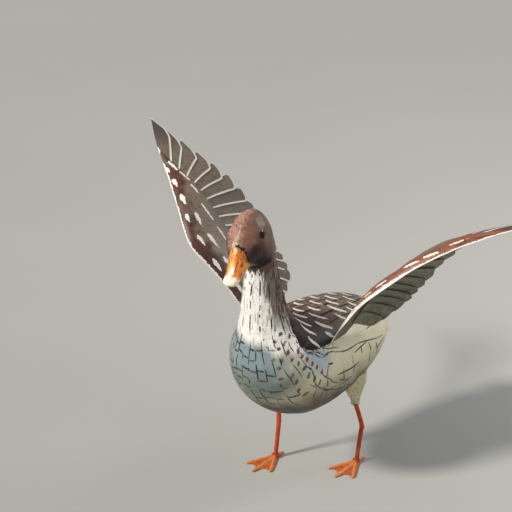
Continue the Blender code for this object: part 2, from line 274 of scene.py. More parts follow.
# (back y, back z, belly y, belly z, half width, narrowing towards the back), rump to face
STATIONS = [
    (0.244, 0.283, 0.240, 0.261, 0.020, 0.0), (0.226, 0.305, 0.226, 0.243, 0.050, 0.0),
    (0.182, 0.331, 0.188, 0.219, 0.082, 0.0), (0.110, 0.353, 0.122, 0.183, 0.104, 0.0),
    (0.030, 0.365, 0.036, 0.159, 0.112, 0.0), (-0.042, 0.371, -0.060, 0.157, 0.110, 0.0),
    (-0.074, 0.379, -0.132, 0.191, 0.102, 0.0), (-0.090, 0.393, -0.172, 0.239, 0.087, 0.0),
    (-0.100, 0.413, -0.188, 0.295, 0.066, 0.0), (-0.108, 0.445, -0.186, 0.355, 0.048, 0.0),
    (-0.115, 0.477, -0.184, 0.411, 0.040, 0.0), (-0.120, 0.503, -0.183, 0.457, 0.034, 0.0),
    (-0.123, 0.525, -0.182, 0.493, 0.0295, 0.0), (-0.126, 0.549, -0.185, 0.512, 0.031, 0.03),
    (-0.135, 0.576, -0.192, 0.515, 0.034, 0.08), (-0.151, 0.604, -0.200, 0.517, 0.036, 0.12),
    (-0.176, 0.623, -0.207, 0.520, 0.037, 0.12), (-0.204, 0.622, -0.214, 0.523, 0.0365, 0.10),
    (-0.225, 0.607, -0.220, 0.526, 0.034, 0.06), (-0.239, 0.587, -0.225, 0.528, 0.028, 0.03),
    (-0.246, 0.571, -0.230, 0.531, 0.021, 0.0),
]


def skin(t, angle):
    """Points of the skin at stations t. Angle 0 is the left side, a quarter turn the back."""
    t, angle = np.broadcast_arrays(np.asarray(t, float), np.asarray(angle, float))
    row = np.moveaxis(through_rows(STATIONS, t), -1, 0)
    back_y, back_z, belly_y, belly_z, half, narrowing = row
    up = np.sin(angle)
    x = half * np.cos(angle) * (1 - narrowing * up)
    y = (back_y + belly_y) / 2 + (back_y - belly_y) / 2 * up
    z = (back_z + belly_z) / 2 + (back_z - belly_z) / 2 * up
    turn = TURN_OF_HEAD * smooth(NECK_FOOT, NECK_TOP + 2, t)
    ahead = y - NECK_AXIS_Y
    return np.stack([x * np.cos(turn) - ahead * np.sin(turn),
                     NECK_AXIS_Y + PLACE_Y + x * np.sin(turn) + ahead * np.cos(turn), z], -1)


def even_stations(first, last, spacing):
    """Stations from first to last whose rings are never further apart than spacing."""
    fine = np.linspace(first, last, 1500)
    lines = skin(fine[:, None], np.array([-pi / 2, 0, pi / 2])[None])
    steps = np.linalg.norm(np.diff(lines, axis=0), axis=2).max(1)
    travelled = np.concatenate([[0], np.cumsum(steps)])
    count = int(travelled[-1] / spacing) + 2
    return np.interp(np.linspace(0, travelled[-1], count), travelled, fine)


def grid_normals(grid):
    """Outward unit normals of a closed-round grid of rings."""
    round_way = np.roll(grid, -1, 1) - np.roll(grid, 1, 1)
    long_way = np.gradient(grid, axis=0)
    normal = np.cross(round_way, long_way)
    return normal / np.maximum(np.linalg.norm(normal, axis=-1, keepdims=True), 1e-12)


print("the crown is", round(float(skin(16, pi / 2)[2]), 3), "m up")

# %% The staves of the hull
STAVES = 24                 # strips of sheet round the trunk; the neck has half as many
ODD_SEAMS_END = 8.7         # station where every second weld runs out, at the foot of the neck
HULL_COLUMNS = 13 * STAVES  # mesh columns, so that each weld falls on one


def sway(q, t):
    """How far a stave's edge wanders sideways, in staves; the cutting was by eye."""
    turn = 2 * pi * q / STAVES
    return 0.10 * np.sin(2.1 * t + 3 * turn) + 0.06 * np.sin(5.3 * t - 2 * turn + 1)


def stave_angle(q, t):
    """Angle on the skin of the stave coordinate q, which counts welds round the body."""
    return (q + sway(q, t)) * 2 * pi / STAVES


def on_staves(q, t):
    """A point of the skin, by stave and station."""
    return skin(t, stave_angle(q, t))


hull_t = even_stations(0.0, JAW, 0.0024)
hull_q = np.arange(HULL_COLUMNS) * STAVES / HULL_COLUMNS
hull_grid = on_staves(hull_q[None], hull_t[:, None])
print("the hull has", hull_grid.shape[0], "rings of", hull_grid.shape[1], "points")

# %% [markdown]
# ## Brush strokes as depth
#
# A stroke is a short path with a half width at each of its points. For a point of the surface,
# its depth is that half width less the distance to the path: positive inside the stroke. Depth
# changes evenly from point to point, so a mesh with points 2 mm apart still draws an edge that
# is sharp to a fraction of that.

# %% Depth inside strokes
OUTSIDE = -9.0              # depth in mm of a point far from every stroke
STROKE_POINTS = 7           # points on the path of a plain stroke
STROKE_MARGIN = 0.004       # how far beyond a stroke its depth is worked out


def stroke_depth(points, strokes):
    """Depth in mm of each point inside the nearest stroke; strokes are (path, half widths).

    The half widths are one for each point of the path, or one for all of them.
    """
    depth = np.full(len(points), OUTSIDE)
    for path, halves in strokes:
        path, halves = np.asarray(path, float), np.broadcast_to(halves, len(path))
        margin = STROKE_MARGIN + halves.max()
        near = ((points > path.min(0) - margin) & (points < path.max(0) + margin)).all(1)
        near = np.flatnonzero(near)
        if not len(near):
            continue
        at = points[near]
        best = np.full(len(near), OUTSIDE)
        for k in range(len(path) - 1):
            step = path[k + 1] - path[k]
            share = np.clip((at - path[k]) @ step / max(step @ step, 1e-12), 0, 1)
            gap = np.linalg.norm(at - path[k] - share[:, None] * step, axis=1)
            half = halves[k] + (halves[k + 1] - halves[k]) * share
            best = np.maximum(best, MM * (half - gap))
        depth[near] = np.maximum(depth[near], best)
    return depth


def dash(start, end, half):
    """A brush dash on the skin, from stave and station to stave and station, thin at its ends."""
    start, end = np.array(start, float), np.array(end, float)
    share = np.linspace(0, 1, STROKE_POINTS)
    path = start + (end - start) * share[:, None]
    return on_staves(*path.T), half * (0.70 + 0.30 * np.sin(pi * share))


print("a dash has", len(dash((0, 5), (0.7, 5), 0.002)[0]), "points on its path")

# %% [markdown]
# ## What is painted where on the hull
#
# - Brown covers the back panel, a strip up the nape, and the top of the neck below the head.
# - Over the cream, the breast and belly carry rows of short dark dashes, one to a stave and
#   staggered like the edges of feathers. On the shoulder and flank they turn to rust-brown dabs
#   that ran down a little before they dried.
# - Each weld shows as a dark broken line, because the paint breaks over the ground bead.

# %% Strokes of the hull
rng = random.Random(11)
FIRST_ROW, LAST_ROW, ROW_STEP = 0.8, 8.9, 0.37  # stations of the rows of dashes
DASHED_UP_TO = 0.34         # sine of the angle on the skin where the dashes end
DABS_FROM = -0.62           # and where dashes turn to dabs
DASHES_KEPT, DABS_KEPT = 0.80, 0.84     # the share of places where the painter left a mark
LEVEL_REACH = 0.45          # stations that a dash's end may shift to lie level
LEAST_RISE = 0.012          # metres a station; a flatter stave counts as this steep


def level_with(point, stave, row):
    """The station near a row where a stave is as high as a point."""
    height, beyond = on_staves(stave, row)[2], on_staves(stave, row + 0.1)[2]
    rise = 10 * (beyond - height)
    rise = max(abs(rise), LEAST_RISE) * (1 if rise > 0 else -1)
    return row + min(max((point[2] - height) / rise, -LEVEL_REACH), LEVEL_REACH)


def hull_dashes():
    """Dark dashes on breast and belly, and rust dabs on the shoulders and flanks."""
    dashes, dabs = [], []
    for stave in range(STAVES):
        row = FIRST_ROW + 0.5 * ROW_STEP * (stave % 2)
        while row < LAST_ROW:
            height = sin(float(stave_angle(stave + 0.5, row)))
            shown = height < DASHED_UP_TO - 0.08 * max(0, 5.5 - row)
            tilt = rng.uniform(-0.04, 0.04)
            first = stave + rng.uniform(-0.04, 0.14)
            if shown and height < DABS_FROM and rng.random() < DASHES_KEPT:
                last = first + rng.uniform(0.66, 1.00)
                end = level_with(on_staves(first, row), last, row)
                half = rng.uniform(0.0018, 0.0027)
                dashes.append(dash((first, row + tilt), (last, end - tilt), half))
            elif shown and height >= DABS_FROM and rng.random() < DABS_KEPT:
                near_neck = float(smooth(5.2, 6.2, row))
                length = rng.uniform(0.45, 1.05) * (1 - 0.62 * near_neck)
                half = rng.uniform(0.0016, 0.0024) + 0.0016 * near_neck
                start = first + rng.uniform(0, 0.4)
                path, halves = dash((start, row + tilt), (start + length, row - tilt), half)
                dabs.append((path, halves * np.linspace(1.15, 0.70, len(path))))
            row += ROW_STEP * rng.uniform(0.85, 1.15)
    return dashes, dabs


# welds between the patches of the flank, as corners in staves and stations
PATCH_WELDS = [
    [(1.14, 6.75), (1.55, 5.90), (1.76, 4.99), (1.41, 3.97), (0.48, 2.68)],
    [(1.14, 6.70), (1.27, 5.87), (1.67, 5.24)],
    [(-0.08, 6.75), (0.08, 6.44), (-0.31, 6.14), (-0.85, 5.90), (-0.86, 5.59), (-1.01, 5.21),
     (-0.93, 4.91)],
    [(0.23, 5.80), (0.00, 5.30), (-0.70, 4.88)],
    [(-0.45, 4.80), (-0.87, 4.53), (-0.85, 4.27)],
    [(-1.88, 3.97), (-0.90, 3.50)],
    [(-0.74, 5.47), (-1.45, 4.68), (-1.70, 4.20)],
]


def patch_welds():
    """Paths of the patches' welds on both flanks."""
    strokes = []
    for number, corners in enumerate(PATCH_WELDS):
        for mirrored in (False, True):
            path = []
            for start, end in zip(corners, corners[1:]):
                share = np.linspace(0, 1, 9)
                q = start[0] + (end[0] - start[0]) * share
                t = start[1] + (end[1] - start[1]) * share + 0.02 * np.sin(9 * share + number)
                path.append(on_staves(STAVES / 2 - q if mirrored else q, t))
            path = np.concatenate(path)
            strokes.append((path, 0.0013 + 0.0003 * np.sin(np.arange(len(path)) * 0.9 + number)))
    return strokes


SEAM_SEED = 3000
SEAM_HALF = 2.0             # half width in mm of a weld's darkest stretch


def seam_presence(stave, t):
    """Where one weld shows: up to 1 on its dark stretches, 0 where paint bridges it."""
    chance = random.Random(SEAM_SEED + stave)
    shown = np.zeros(len(t))
    at = chance.uniform(0, 0.6)
    while at < t[-1]:
        dark = chance.uniform(0.15, 0.9)
        flank = float(1 - smooth(5.2, 6.6, at))
        if chance.random() < 0.92 - 0.50 * flank:
            ends = np.sin(pi * np.clip((t - at) / dark, 0, 1)) ** 0.35
            on_it = (t > at) & (t < at + dark)
            shown = np.maximum(shown, on_it * ends * chance.uniform(0.4, 1.0))
        at += dark + chance.uniform(0.04, 0.38)
    return shown


def hull_seams():
    """Depth in mm inside the nearest weld line, and how near that weld is, for each point."""
    depth = np.full(hull_grid.shape[:2], OUTSIDE)
    near = np.full(hull_grid.shape[:2], -OUTSIDE)
    girth = np.linalg.norm(hull_grid - np.roll(hull_grid, 1, 1), axis=2).sum(1)
    for stave in range(STAVES):
        shown = seam_presence(stave, hull_t)
        whole = (stave % 2 == 0) | (hull_t < ODD_SEAMS_END)
        away = np.abs((hull_q - stave + STAVES / 2) % STAVES - STAVES / 2)
        gap = MM * away[None] * girth[:, None] / STAVES
        line = shown[:, None] * SEAM_HALF - gap
        depth = np.maximum(depth, np.where((shown * whole)[:, None] > 0, line, OUTSIDE))
        near = np.minimum(near, np.where(whole[:, None], gap, -OUTSIDE))
    return np.maximum(depth, OUTSIDE), near


seam_depth, seam_gap = hull_seams()
patch_depth = stroke_depth(hull_grid.reshape(-1, 3), patch_welds()).reshape(seam_depth.shape)
dark_dashes, rust_dabs = hull_dashes()
print(len(dark_dashes), "dark dashes and", len(rust_dabs), "rust dabs on the hull")

# %% Where the brown begins
# edge of the back panel by station: the angle on the skin, in degrees
PANEL_EDGE = [(0, 62), (1, 52), (2, 44), (3, 47), (3.7, 50), (4.3, 43.5), (4.9, 36.5), (5.7, 31),
              (6.4, 24), (6.9, 18.5), (7.4, 15.5), (7.8, 19), (8.3, 21), (8.6, 26), (9.0, 33),
              (10, 37), (11, 39), (12.3, 40)]
NECK_BROWN = 0.498          # height where the brown of the head ends on the neck


def over_panel_edge(t, angle):
    """Distance in mm over the edge of the back panel, measured round the body."""
    edge = np.radians(along(PANEL_EDGE, t))
    lean = np.abs((angle - pi / 2 + pi) % (2 * pi) - pi)
    across = np.linalg.norm(skin(t, np.zeros_like(t)) - skin(t, np.full_like(t, pi)), axis=-1)
    return (pi / 2 - edge - lean) * (MM / 2) * across


hull_t_all = np.broadcast_to(hull_t[:, None], hull_grid.shape[:2])
hull_angle = stave_angle(hull_q[None], hull_t[:, None])
panel_mm = over_panel_edge(hull_t_all, hull_angle)
neck_mm = MM * (hull_grid[..., 2] - NECK_BROWN)
print("the panel's edge passes", round(float(np.abs(panel_mm).min()), 2), "mm from a point")

# %% [markdown]
# ## The hull's mesh
#
# Each strip is a little flat between its welds, each weld is a shallow groove, and the hammer
# has left soft dents. All three are moves of the surface along its own normal, so they are real
# shape, and show in the outline as well as in the light.

# %% Build the hull
STRIP_FLATNESS = 0.65       # 0 for strips as round as the body, 1 for flat ones
WELD_GROOVE, PATCH_GROOVE = 0.0009, 0.0006      # depths in metres
HULL_DENTS = [(0.0006, 38, 1), (0.0002, 14, 2)]  # height in metres, length in mm, and seed
SHOULDER_STATION = 5.9


def dents(points, size, seed):
    """Soft random waves from -1 to 1, about size millimetres long."""
    chance = np.random.default_rng(seed)
    total = np.zeros(points.shape[:-1])
    for _ in range(9):
        way = chance.normal(size=3)
        way *= 2 * pi * MM / size / np.linalg.norm(way) * chance.uniform(0.7, 1.4)
        total += np.sin(points @ way + chance.uniform(0, 2 * pi))
    return total / 4.5


def dented(relief, points, waves):
    """A relief with soft dents added, each set given as its height, length and seed."""
    for height, size, seed in waves:
        relief = relief + height * dents(points, size, seed)
    return relief


def hull_relief():
    """How far the hammered strips stand off the smooth skin, in metres."""
    girth = np.linalg.norm(hull_grid - np.roll(hull_grid, 1, 1), axis=2).sum(1)[:, None]
    wide = smooth(ODD_SEAMS_END - 1, ODD_SEAMS_END + 0.5, hull_t)[:, None]
    relief = 0
    for strips, share in ((STAVES, 1 - wide), (STAVES / 2, wide)):
        part = (hull_q[None] * strips / STAVES) % 1
        sagitta = (girth / strips) ** 2 * 2 * pi / (8 * girth)
        relief = relief - STRIP_FLATNESS * share * sagitta * (1 - (2 * part - 1) ** 2)
    relief = relief - WELD_GROOVE * bell(seam_gap, 1.5)
    relief = relief - PATCH_GROOVE * bell(1.3 - patch_depth, 1.6)
    return dented(relief, hull_grid, HULL_DENTS)


def with_poles(field):
    """A field of a grid of rings, with a value for the pole at each end."""
    return np.concatenate([field.ravel(), [field[0].mean(), field[-1].mean()]])


hammered = hull_grid + grid_normals(hull_grid) * hull_relief()[..., None]
hull_points, hull_faces = closed_tube(hammered)
# the blue-grey on each shoulder, partly tint and partly painted shade of the wing, spreads from a
# point below the front of the wing's root
shoulders = [on_staves(stave, SHOULDER_STATION) for stave in (1.1, STAVES / 2 - 1.1)]
hull_fields = {
    "seam_mm": with_poles(seam_depth),
    "brown_mm": with_poles(np.maximum(panel_mm, neck_mm)),
    "panel_mm": with_poles(panel_mm),
    "dash_mm": stroke_depth(hull_points, dark_dashes),
    "dab_mm": stroke_depth(hull_points, rust_dabs),
    "shoulder_mm": MM * np.min([np.linalg.norm(hull_points - shoulder, axis=1)
                                for shoulder in shoulders], 0),
    "patch_mm": with_poles(patch_depth),
    "flank": with_poles(smooth(-7.2, -5.8, -hull_t_all)),
    # painted light: "warm" rises towards the goose's left, where the breast is painted as lit
    # cream instead of blue-grey shade
    "warm": with_poles(MM * (hull_grid[..., 0] + 0.30 * (hull_grid[..., 2] - 0.320))),
}
hull = build("hull_shell", hull_points, hull_faces, hull_fields, sharp=180)
print("the hull's shell has", len(hull.data.polygons), "faces")

# %% [markdown]
# ## The back panel
#
# The brown back is its own sheet, laid over the hull like a saddle, with a tongue that runs up
# the nape. It is a thin closed plate that stands a millimetre proud, so it has a true sheet edge
# all round, and the weld lines on it run lengthwise.

# %% Build the back panel
PANEL_PROUD = 0.0016        # upper face of the sheet over the skin
PANEL_UNDER = -0.0008       # its lower face, sunk in the hull
PANEL_COLUMNS = 96


def panel_grid(t, lift):
    """Points of the panel at stations t, lifted off the skin."""
    edge = np.radians(along(PANEL_EDGE, t))[:, None]
    share = np.linspace(-1, 1, PANEL_COLUMNS)[None]
    angle = pi / 2 - share * (pi / 2 - edge)
    grid = skin(t[:, None], angle)
    across, long_way = np.gradient(grid, axis=1), np.gradient(grid, axis=0)
    normal = np.cross(across, long_way)
    normal /= np.linalg.norm(normal, axis=-1, keepdims=True)
    rim = np.minimum(1, (1 - np.abs(share)) * 12) ** 0.5
    return grid + normal * (lift * (0.35 + 0.65 * rim))[..., None]


panel_t = even_stations(0.06, NECK_TOP + 0.1, 0.0022)
panel_top = panel_grid(panel_t, PANEL_PROUD)
panel_under = panel_grid(panel_t, PANEL_UNDER)
panel_top += np.array([0, 0, 1]) * 0.0005 * dents(panel_top, 34, 5)[..., None]


def surface_from_above(points, faces):
    """A function that gives the surface's point straight below each place (x, y)."""
    tree = BVHTree.FromPolygons([tuple(p) for p in points.tolist()], faces)

    def below(x, y):
        found = []
        for a, b in zip(np.atleast_1d(x), np.atleast_1d(y)):
            hit = tree.ray_cast(Vector((a, b, 0.45)), Vector((0, 0, -1)))[0]
            if hit is not None:
                found.append(tuple(hit))
        return np.array(found)

    return below


panel_points, panel_faces = sheet(panel_top, panel_under, flip=True)
on_back = surface_from_above(panel_points, panel_faces)
BACK_FRONT, BACK_REAR = -0.088 + PLACE_Y, 0.205 + PLACE_Y
BACK_ROW = 0.0295           # from one row of white dashes to the next
BACK_DASH = 0.0430          # from one dash to the next along a row
SHOULDER_ROWS = 3           # rows in front of the back's first one, on the low shoulders
SHOULDER_LENGTH = 0.65      # their dashes are this much shorter
NECK_CLEAR = 0.040          # and keep this far from the middle, where the neck stands
BACK_SLANT = 9.0            # how strongly the rows bend back towards the sides
BACK_MISSED = 0.10          # the share of white dashes left out


def back_dashes():
    """White dashes across the back, in rows, each row staggered by half a dash.

    The first rows lie only on the two low shoulders, beside the neck.
    """
    strokes = []
    rows = int((BACK_REAR - BACK_FRONT) / BACK_ROW) + 1
    for row in range(-SHOULDER_ROWS, rows):
        y = BACK_FRONT + BACK_ROW * row
        for k in range(-4, 5):
            middle = BACK_DASH * (k + 0.5 * (row % 2)) + rng.uniform(-0.004, 0.004)
            if rng.random() < BACK_MISSED or (row < 0 and abs(middle) < NECK_CLEAR):
                continue
            half_length = BACK_DASH * rng.uniform(0.25, 0.35)
            half_length *= 1 if row >= 0 else SHOULDER_LENGTH
            share = np.linspace(-1, 1, 9)
            x = middle + half_length * share
            slant = BACK_SLANT * x ** 2 + rng.uniform(-0.003, 0.003)
            place = on_back(x, y + slant - 0.004 * (1 - share ** 2))
            if len(place) < 5:
                continue
            shape = np.linspace(-1, 1, len(place))
            half = rng.uniform(0.0032, 0.0045) * (1 - 0.50 * np.abs(shape) ** 2)
            strokes.append((place, half))
    return strokes


def back_welds():
    """Dark broken lines along the back panel."""
    strokes = []
    for k in range(-4, 5):
        y = BACK_FRONT + rng.uniform(0, 0.03)
        while y < BACK_REAR:
            length = rng.uniform(0.03, 0.10)
            run = np.linspace(y, min(y + length, BACK_REAR), 12)
            narrow = 1 - 0.45 * smooth(0.05, 0.21, run) - 0.25 * (1 - smooth(-0.10, -0.04, run))
            place = on_back(0.021 * k * narrow + 0.0015 * np.sin(60 * run + k), run)
            if len(place) > 3:
                strokes.append((place, rng.uniform(0.0014, 0.0024)))
            y += length + rng.uniform(0.003, 0.015)
    return strokes


panel_fields = {
    "white_mm": stroke_depth(panel_points, back_dashes()),
    "seam_mm": stroke_depth(panel_points, back_welds()),
}
panel = build("back_panel", panel_points, panel_faces, panel_fields)
print("the back panel has", len(panel.data.polygons), "faces")

# %% [markdown]
# ## The head
#
# The head is a second hammered shell, welded on over the neck's top, so its lower rim stands a
# little proud under the jaw. The sheet has a faint keel over the crown, where its halves meet,
# and a shallow dish round each eye. The paint on it is blended wet: pinkish brown in front,
# painted lighter as light on its right side, a whitish streak down the forehead, partly a painted
# highlight, greyer behind, and nearly black plum along the jaw as painted shade.

# %% The head's own frame
HEAD_CENTRE = Vector((0.0069, -0.195 + PLACE_Y, 0.567))
HEAD_PITCH = radians(50)
FORWARD = Vector((sin(TURN_OF_HEAD) * cos(HEAD_PITCH), -cos(TURN_OF_HEAD) * cos(HEAD_PITCH),
                  -sin(HEAD_PITCH)))
LEFTWARD = Vector((cos(TURN_OF_HEAD), sin(TURN_OF_HEAD), 0))
UPWARD = FORWARD.cross(LEFTWARD)
HEAD_AXES = np.array([FORWARD, LEFTWARD, UPWARD])
EYE_SEAT = np.array((-0.0085, 0.0302, 0.0225))
EYE_RADIUS, EYE_DEPTH = 0.0086, 0.0030


def from_head(place):
    """World points from distances forward, left and up in the head."""
    return np.asarray(place) @ HEAD_AXES + np.array(HEAD_CENTRE)


def to_head(points):
    """Distances forward, left and up in the head of world points."""
    return (points - np.array(HEAD_CENTRE)) @ HEAD_AXES.T


print("the eyes are", round(2 * MM * EYE_SEAT[1]), "mm apart")

# %% [markdown]
# ## The bill
#
# Two folded sheets, one over the other. The upper one has a round ridge, a nostril slot pressed
# into each side and a broad nail at its tip; the lower one is narrower and slightly sunk.

# %% Build the bill
# each row: ahead, half width, and the heights of ridge, gape and underside
BILL = [
    (0.030, 0.0200, 0.042, -0.002, -0.012), (0.045, 0.0195, 0.038, 0.002, -0.008),
    (0.060, 0.0175, 0.033, 0.008, -0.001), (0.075, 0.0160, 0.030, 0.013, 0.006),
    (0.088, 0.0150, 0.029, 0.017, 0.011), (0.096, 0.0115, 0.028, 0.019, 0.014),
    (0.100, 0.0050, 0.026, 0.021, 0.018),
]
LOWER_BILL = 0.86           # the lower half's width, as a share of the upper one's
BILL_FULLNESS = 0.80        # under 1, a fuller section than an ellipse
GAPE_ABOVE, GAPE_BELOW = 0.0004, 0.0005     # how far each half keeps from the gape's line
GAPE_HOLLOW = 0.0010        # how far the faces that meet there rise between their rims
NOSTRIL_AHEAD, NOSTRIL_UP, NOSTRIL_STRETCH = 0.0600, 0.0255, 2.3
NOSTRIL_DEPTH, NOSTRIL_HALF = 0.0016, 0.0017
NAIL_STEP, FOLD_DEPTH = 0.0007, 0.0010
BILL_DENTS = [(0.0004, 13, 21), (0.00012, 5, 22)]
BILL_RINGS, BILL_ARC, BILL_FLAT = 110, 64, 20


def bill_grid(upper):
    """Rings of one half of the bill, in the head's frame."""
    rows = through_rows(BILL, (len(BILL) - 1) * np.linspace(0, 1, BILL_RINGS) ** 0.9)
    ahead, half, ridge, gape, under = (column[:, None] for column in rows.T)
    angle = np.linspace(0, pi, BILL_ARC)[None]
    across = np.sign(np.cos(angle)) * np.abs(np.cos(angle)) ** BILL_FULLNESS
    height = np.clip(np.sin(angle), 0, 1) ** BILL_FULLNESS
    flat = np.linspace(-1, 1, BILL_FLAT + 2)[None, 1:-1]
    if upper:
        way, low, far = 1, gape + GAPE_ABOVE, ridge
    else:
        way, low, far = -1, gape - GAPE_BELOW, under
        half = LOWER_BILL * half
    left = way * half * np.concatenate([across, flat], 1)
    up = low + (far - low) * height
    up_shut = low + way * GAPE_HOLLOW * (1 - flat ** 2)
    up = np.concatenate([up, up_shut], 1)
    return np.stack([np.broadcast_to(ahead, left.shape), left, up], -1)


def bill_relief(place, upper):
    """Nostril slots, the nail's step, the folds of the sheet and soft dents, in metres."""
    ahead, left, up = np.moveaxis(place, -1, 0)
    relief = dented(0, place, BILL_DENTS)
    if upper:
        from_slot = np.hypot((ahead - NOSTRIL_AHEAD) / NOSTRIL_STRETCH, up - NOSTRIL_UP)
        at_side = np.abs(left) > 0.006
        relief = relief - NOSTRIL_DEPTH * bell(from_slot, NOSTRIL_HALF) * at_side
        relief = relief + NAIL_STEP * smooth(0.0862, 0.0885, ahead)
        fold = bell(np.abs(left) - 0.0095, 0.0020) * (up > 0.012)
        relief = relief - FOLD_DEPTH * fold * (1 - smooth(0.070, 0.086, ahead))
    return relief


def build_bill(name, upper):
    """One half of the bill, with each point's place in the head stored on it."""
    grid = bill_grid(upper)
    place = grid + grid_normals(grid) * bill_relief(grid, upper)[..., None]
    points, faces = closed_tube(place)
    ahead, left, up = points.T
    fields = {"ahead_mm": MM * ahead, "left_mm": MM * left, "up_mm": MM * up}
    return build(name, from_head(points), faces, fields, sharp=55)


bill_upper = build_bill("bill_upper_shell", True)
bill_lower = build_bill("bill_lower_shell", False)
print("each half of the bill has", len(bill_upper.data.polygons), "faces")

# %% Build the head
HEAD_SIDES = 240
HEAD_LIP = 0.0007           # how proud of the neck the head's rim stands
HEAD_DENTS = [(0.0005, 26, 7), (0.00015, 9, 8)]
KEEL_HEIGHT, KEEL_HALF = 0.0011, 0.0045
DISH_DEPTH, DISH_RADIUS = 0.0012, 0.0085    # the dish round an eye
BROW_HEIGHT, BROW_RADIUS, BROW_HALF = 0.0011, 0.0068, 0.0013    # the ring at its rim


def head_relief(points):
    """Keel, eye dishes, brow and hammer dents of the head's sheet, in metres."""
    ahead, left, up = np.moveaxis(to_head(points), -1, 0)
    keel = bell(left, KEEL_HALF) * smooth(0.018, 0.034, up)
    relief = dented(0, points, HEAD_DENTS) + KEEL_HEIGHT * keel
    gap = np.sqrt((ahead - EYE_SEAT[0]) ** 2 + (up - EYE_SEAT[2]) ** 2)
    side = np.abs(left) > 0.012
    relief = relief - DISH_DEPTH * bell(gap, DISH_RADIUS) * side
    relief = relief + BROW_HEIGHT * bell(gap - BROW_RADIUS, BROW_HALF) * side
    return relief + HEAD_LIP * (1 - smooth(0.53, 0.56, points[..., 2]))


head_t = even_stations(JAW - 0.12, FACE, 0.0010)
head_angle = np.linspace(0, 2 * pi, HEAD_SIDES, endpoint=False)
head_grid = skin(head_t[:, None], head_angle[None])
head_grid = head_grid + grid_normals(head_grid) * head_relief(head_grid)[..., None]
head_points, head_faces = closed_tube(head_grid)
head_place = to_head(head_points)


GAP_REACH = 0.03            # no distance over this is measured


def gap_to(piece, points):
    """Distance in mm from each point to a piece's surface."""
    mesh = piece.data
    tree = BVHTree.FromPolygons([v.co for v in mesh.vertices], [p.vertices for p in mesh.polygons])
    gaps = []
    for point in points:
        found = tree.find_nearest(Vector(point), GAP_REACH)
        gaps.append(MM * (found[3] if found[0] is not None else GAP_REACH))
    return np.array(gaps)


bill_gap = np.full(len(head_points), MM * GAP_REACH)
front_half = head_place[:, 0] > 0.0
bill_gap[front_half] = np.minimum(gap_to(bill_upper, head_points[front_half]),
                                  gap_to(bill_lower, head_points[front_half]))


def on_head(ahead, left):
    """The point of the head's top that lies over a place in its frame."""
    aside = np.hypot(head_place[:, 0] - ahead, head_place[:, 1] - left)
    return head_points[(aside + (head_place[:, 2] < 0)).argmin()]


# dark specks on the forehead: ahead, to the left, and half width
SPECKS = [(-0.0164, -0.0104, 0.0013), (-0.0095, -0.0098, 0.0015), (-0.0060, -0.0070, 0.0006),
          (-0.0125, -0.0060, 0.0006), (0.0040, -0.0120, 0.0007)]
specks = [([on_head(ahead, left)] * 2, half) for ahead, left, half in SPECKS]


def eye_place(side):
    """Where an eye meets the head, and the way it looks."""
    miss = np.hypot(head_place[:, 0] - EYE_SEAT[0], head_place[:, 2] - EYE_SEAT[2])
    miss = miss + 1.0 * (head_place[:, 1] * side < 0)
    around = head_points[np.argsort(miss)[:500]]
    outward = np.linalg.svd(around - around.mean(0))[2][2]
    outward = outward * np.sign((around.mean(0) - np.array(HEAD_CENTRE)) @ outward)
    return around[:30].mean(0), outward


eye_gap = np.min([np.linalg.norm(head_points - eye_place(side)[0], axis=1)
                  for side in SIDES], 0)
head_fields = {
    "ahead_mm": MM * head_place[:, 0], "left_mm": MM * head_place[:, 1],
    "up_mm": MM * head_place[:, 2], "bill_mm": bill_gap,
    "eye_mm": MM * eye_gap,
    "speck_mm": stroke_depth(head_points, specks),
}
head = build("head_shell", head_points, head_faces, head_fields, sharp=180)
for piece in (bill_upper, bill_lower):
    store(piece.data, "head_mm", gap_to(head, [v.co for v in piece.data.vertices]))
print("the head has", len(head.data.polygons), "faces")

# %% [markdown]
# ## The eyes
#
# Each eye is a domed steel button, welded into its dish and painted gloss black.

# %% Build the eyes
def build_eye(side):
    turns, rows = 40, 24
    seat, outward = eye_place(side)
    polar = np.linspace(0, pi, rows + 2)[1:-1, None]
    turn = np.linspace(0, 2 * pi, turns, endpoint=False)[None]
    ball = np.stack([np.sin(polar) * np.cos(turn), np.sin(polar) * np.sin(turn),
                     -np.cos(polar) * np.ones_like(turn)], -1)
    turned = np.array(Vector((0, 0, 1)).rotation_difference(Vector(outward)).to_matrix())
    button = (ball * (EYE_RADIUS, EYE_RADIUS, EYE_DEPTH)) @ turned.T
    points, faces = closed_tube(seat + button)
    name = "eye_button_" + SIDES[side]
    return build(name, points, faces, sharp=180)


eyes = {side: build_eye(side) for side in SIDES}
print("two eyes of", 2 * MM * EYE_RADIUS, "mm")

# %% [markdown]
# ## The wings
#
# A real wing of this ornament is a bent covert plate with the flight feathers welded on behind
# it, each one cut singly and lapped: from the wing's tip inwards, every feather lies over the
# next. So each has a free inner edge, which casts a thin shadow and carries a white painted
# line that curls round the feather's end.
#
# One formula gives the wing's curved face, from distances out and back from the front of its
# root. Every plate is drawn flat in those two distances and then laid on that face.

# %% The wing's curved face
WING_ROOT = (0.084, -0.044 + PLACE_Y, 0.310)
ROOT_INSIDE = -0.012        # the plates start this far inside the hull
SPAN = 0.451
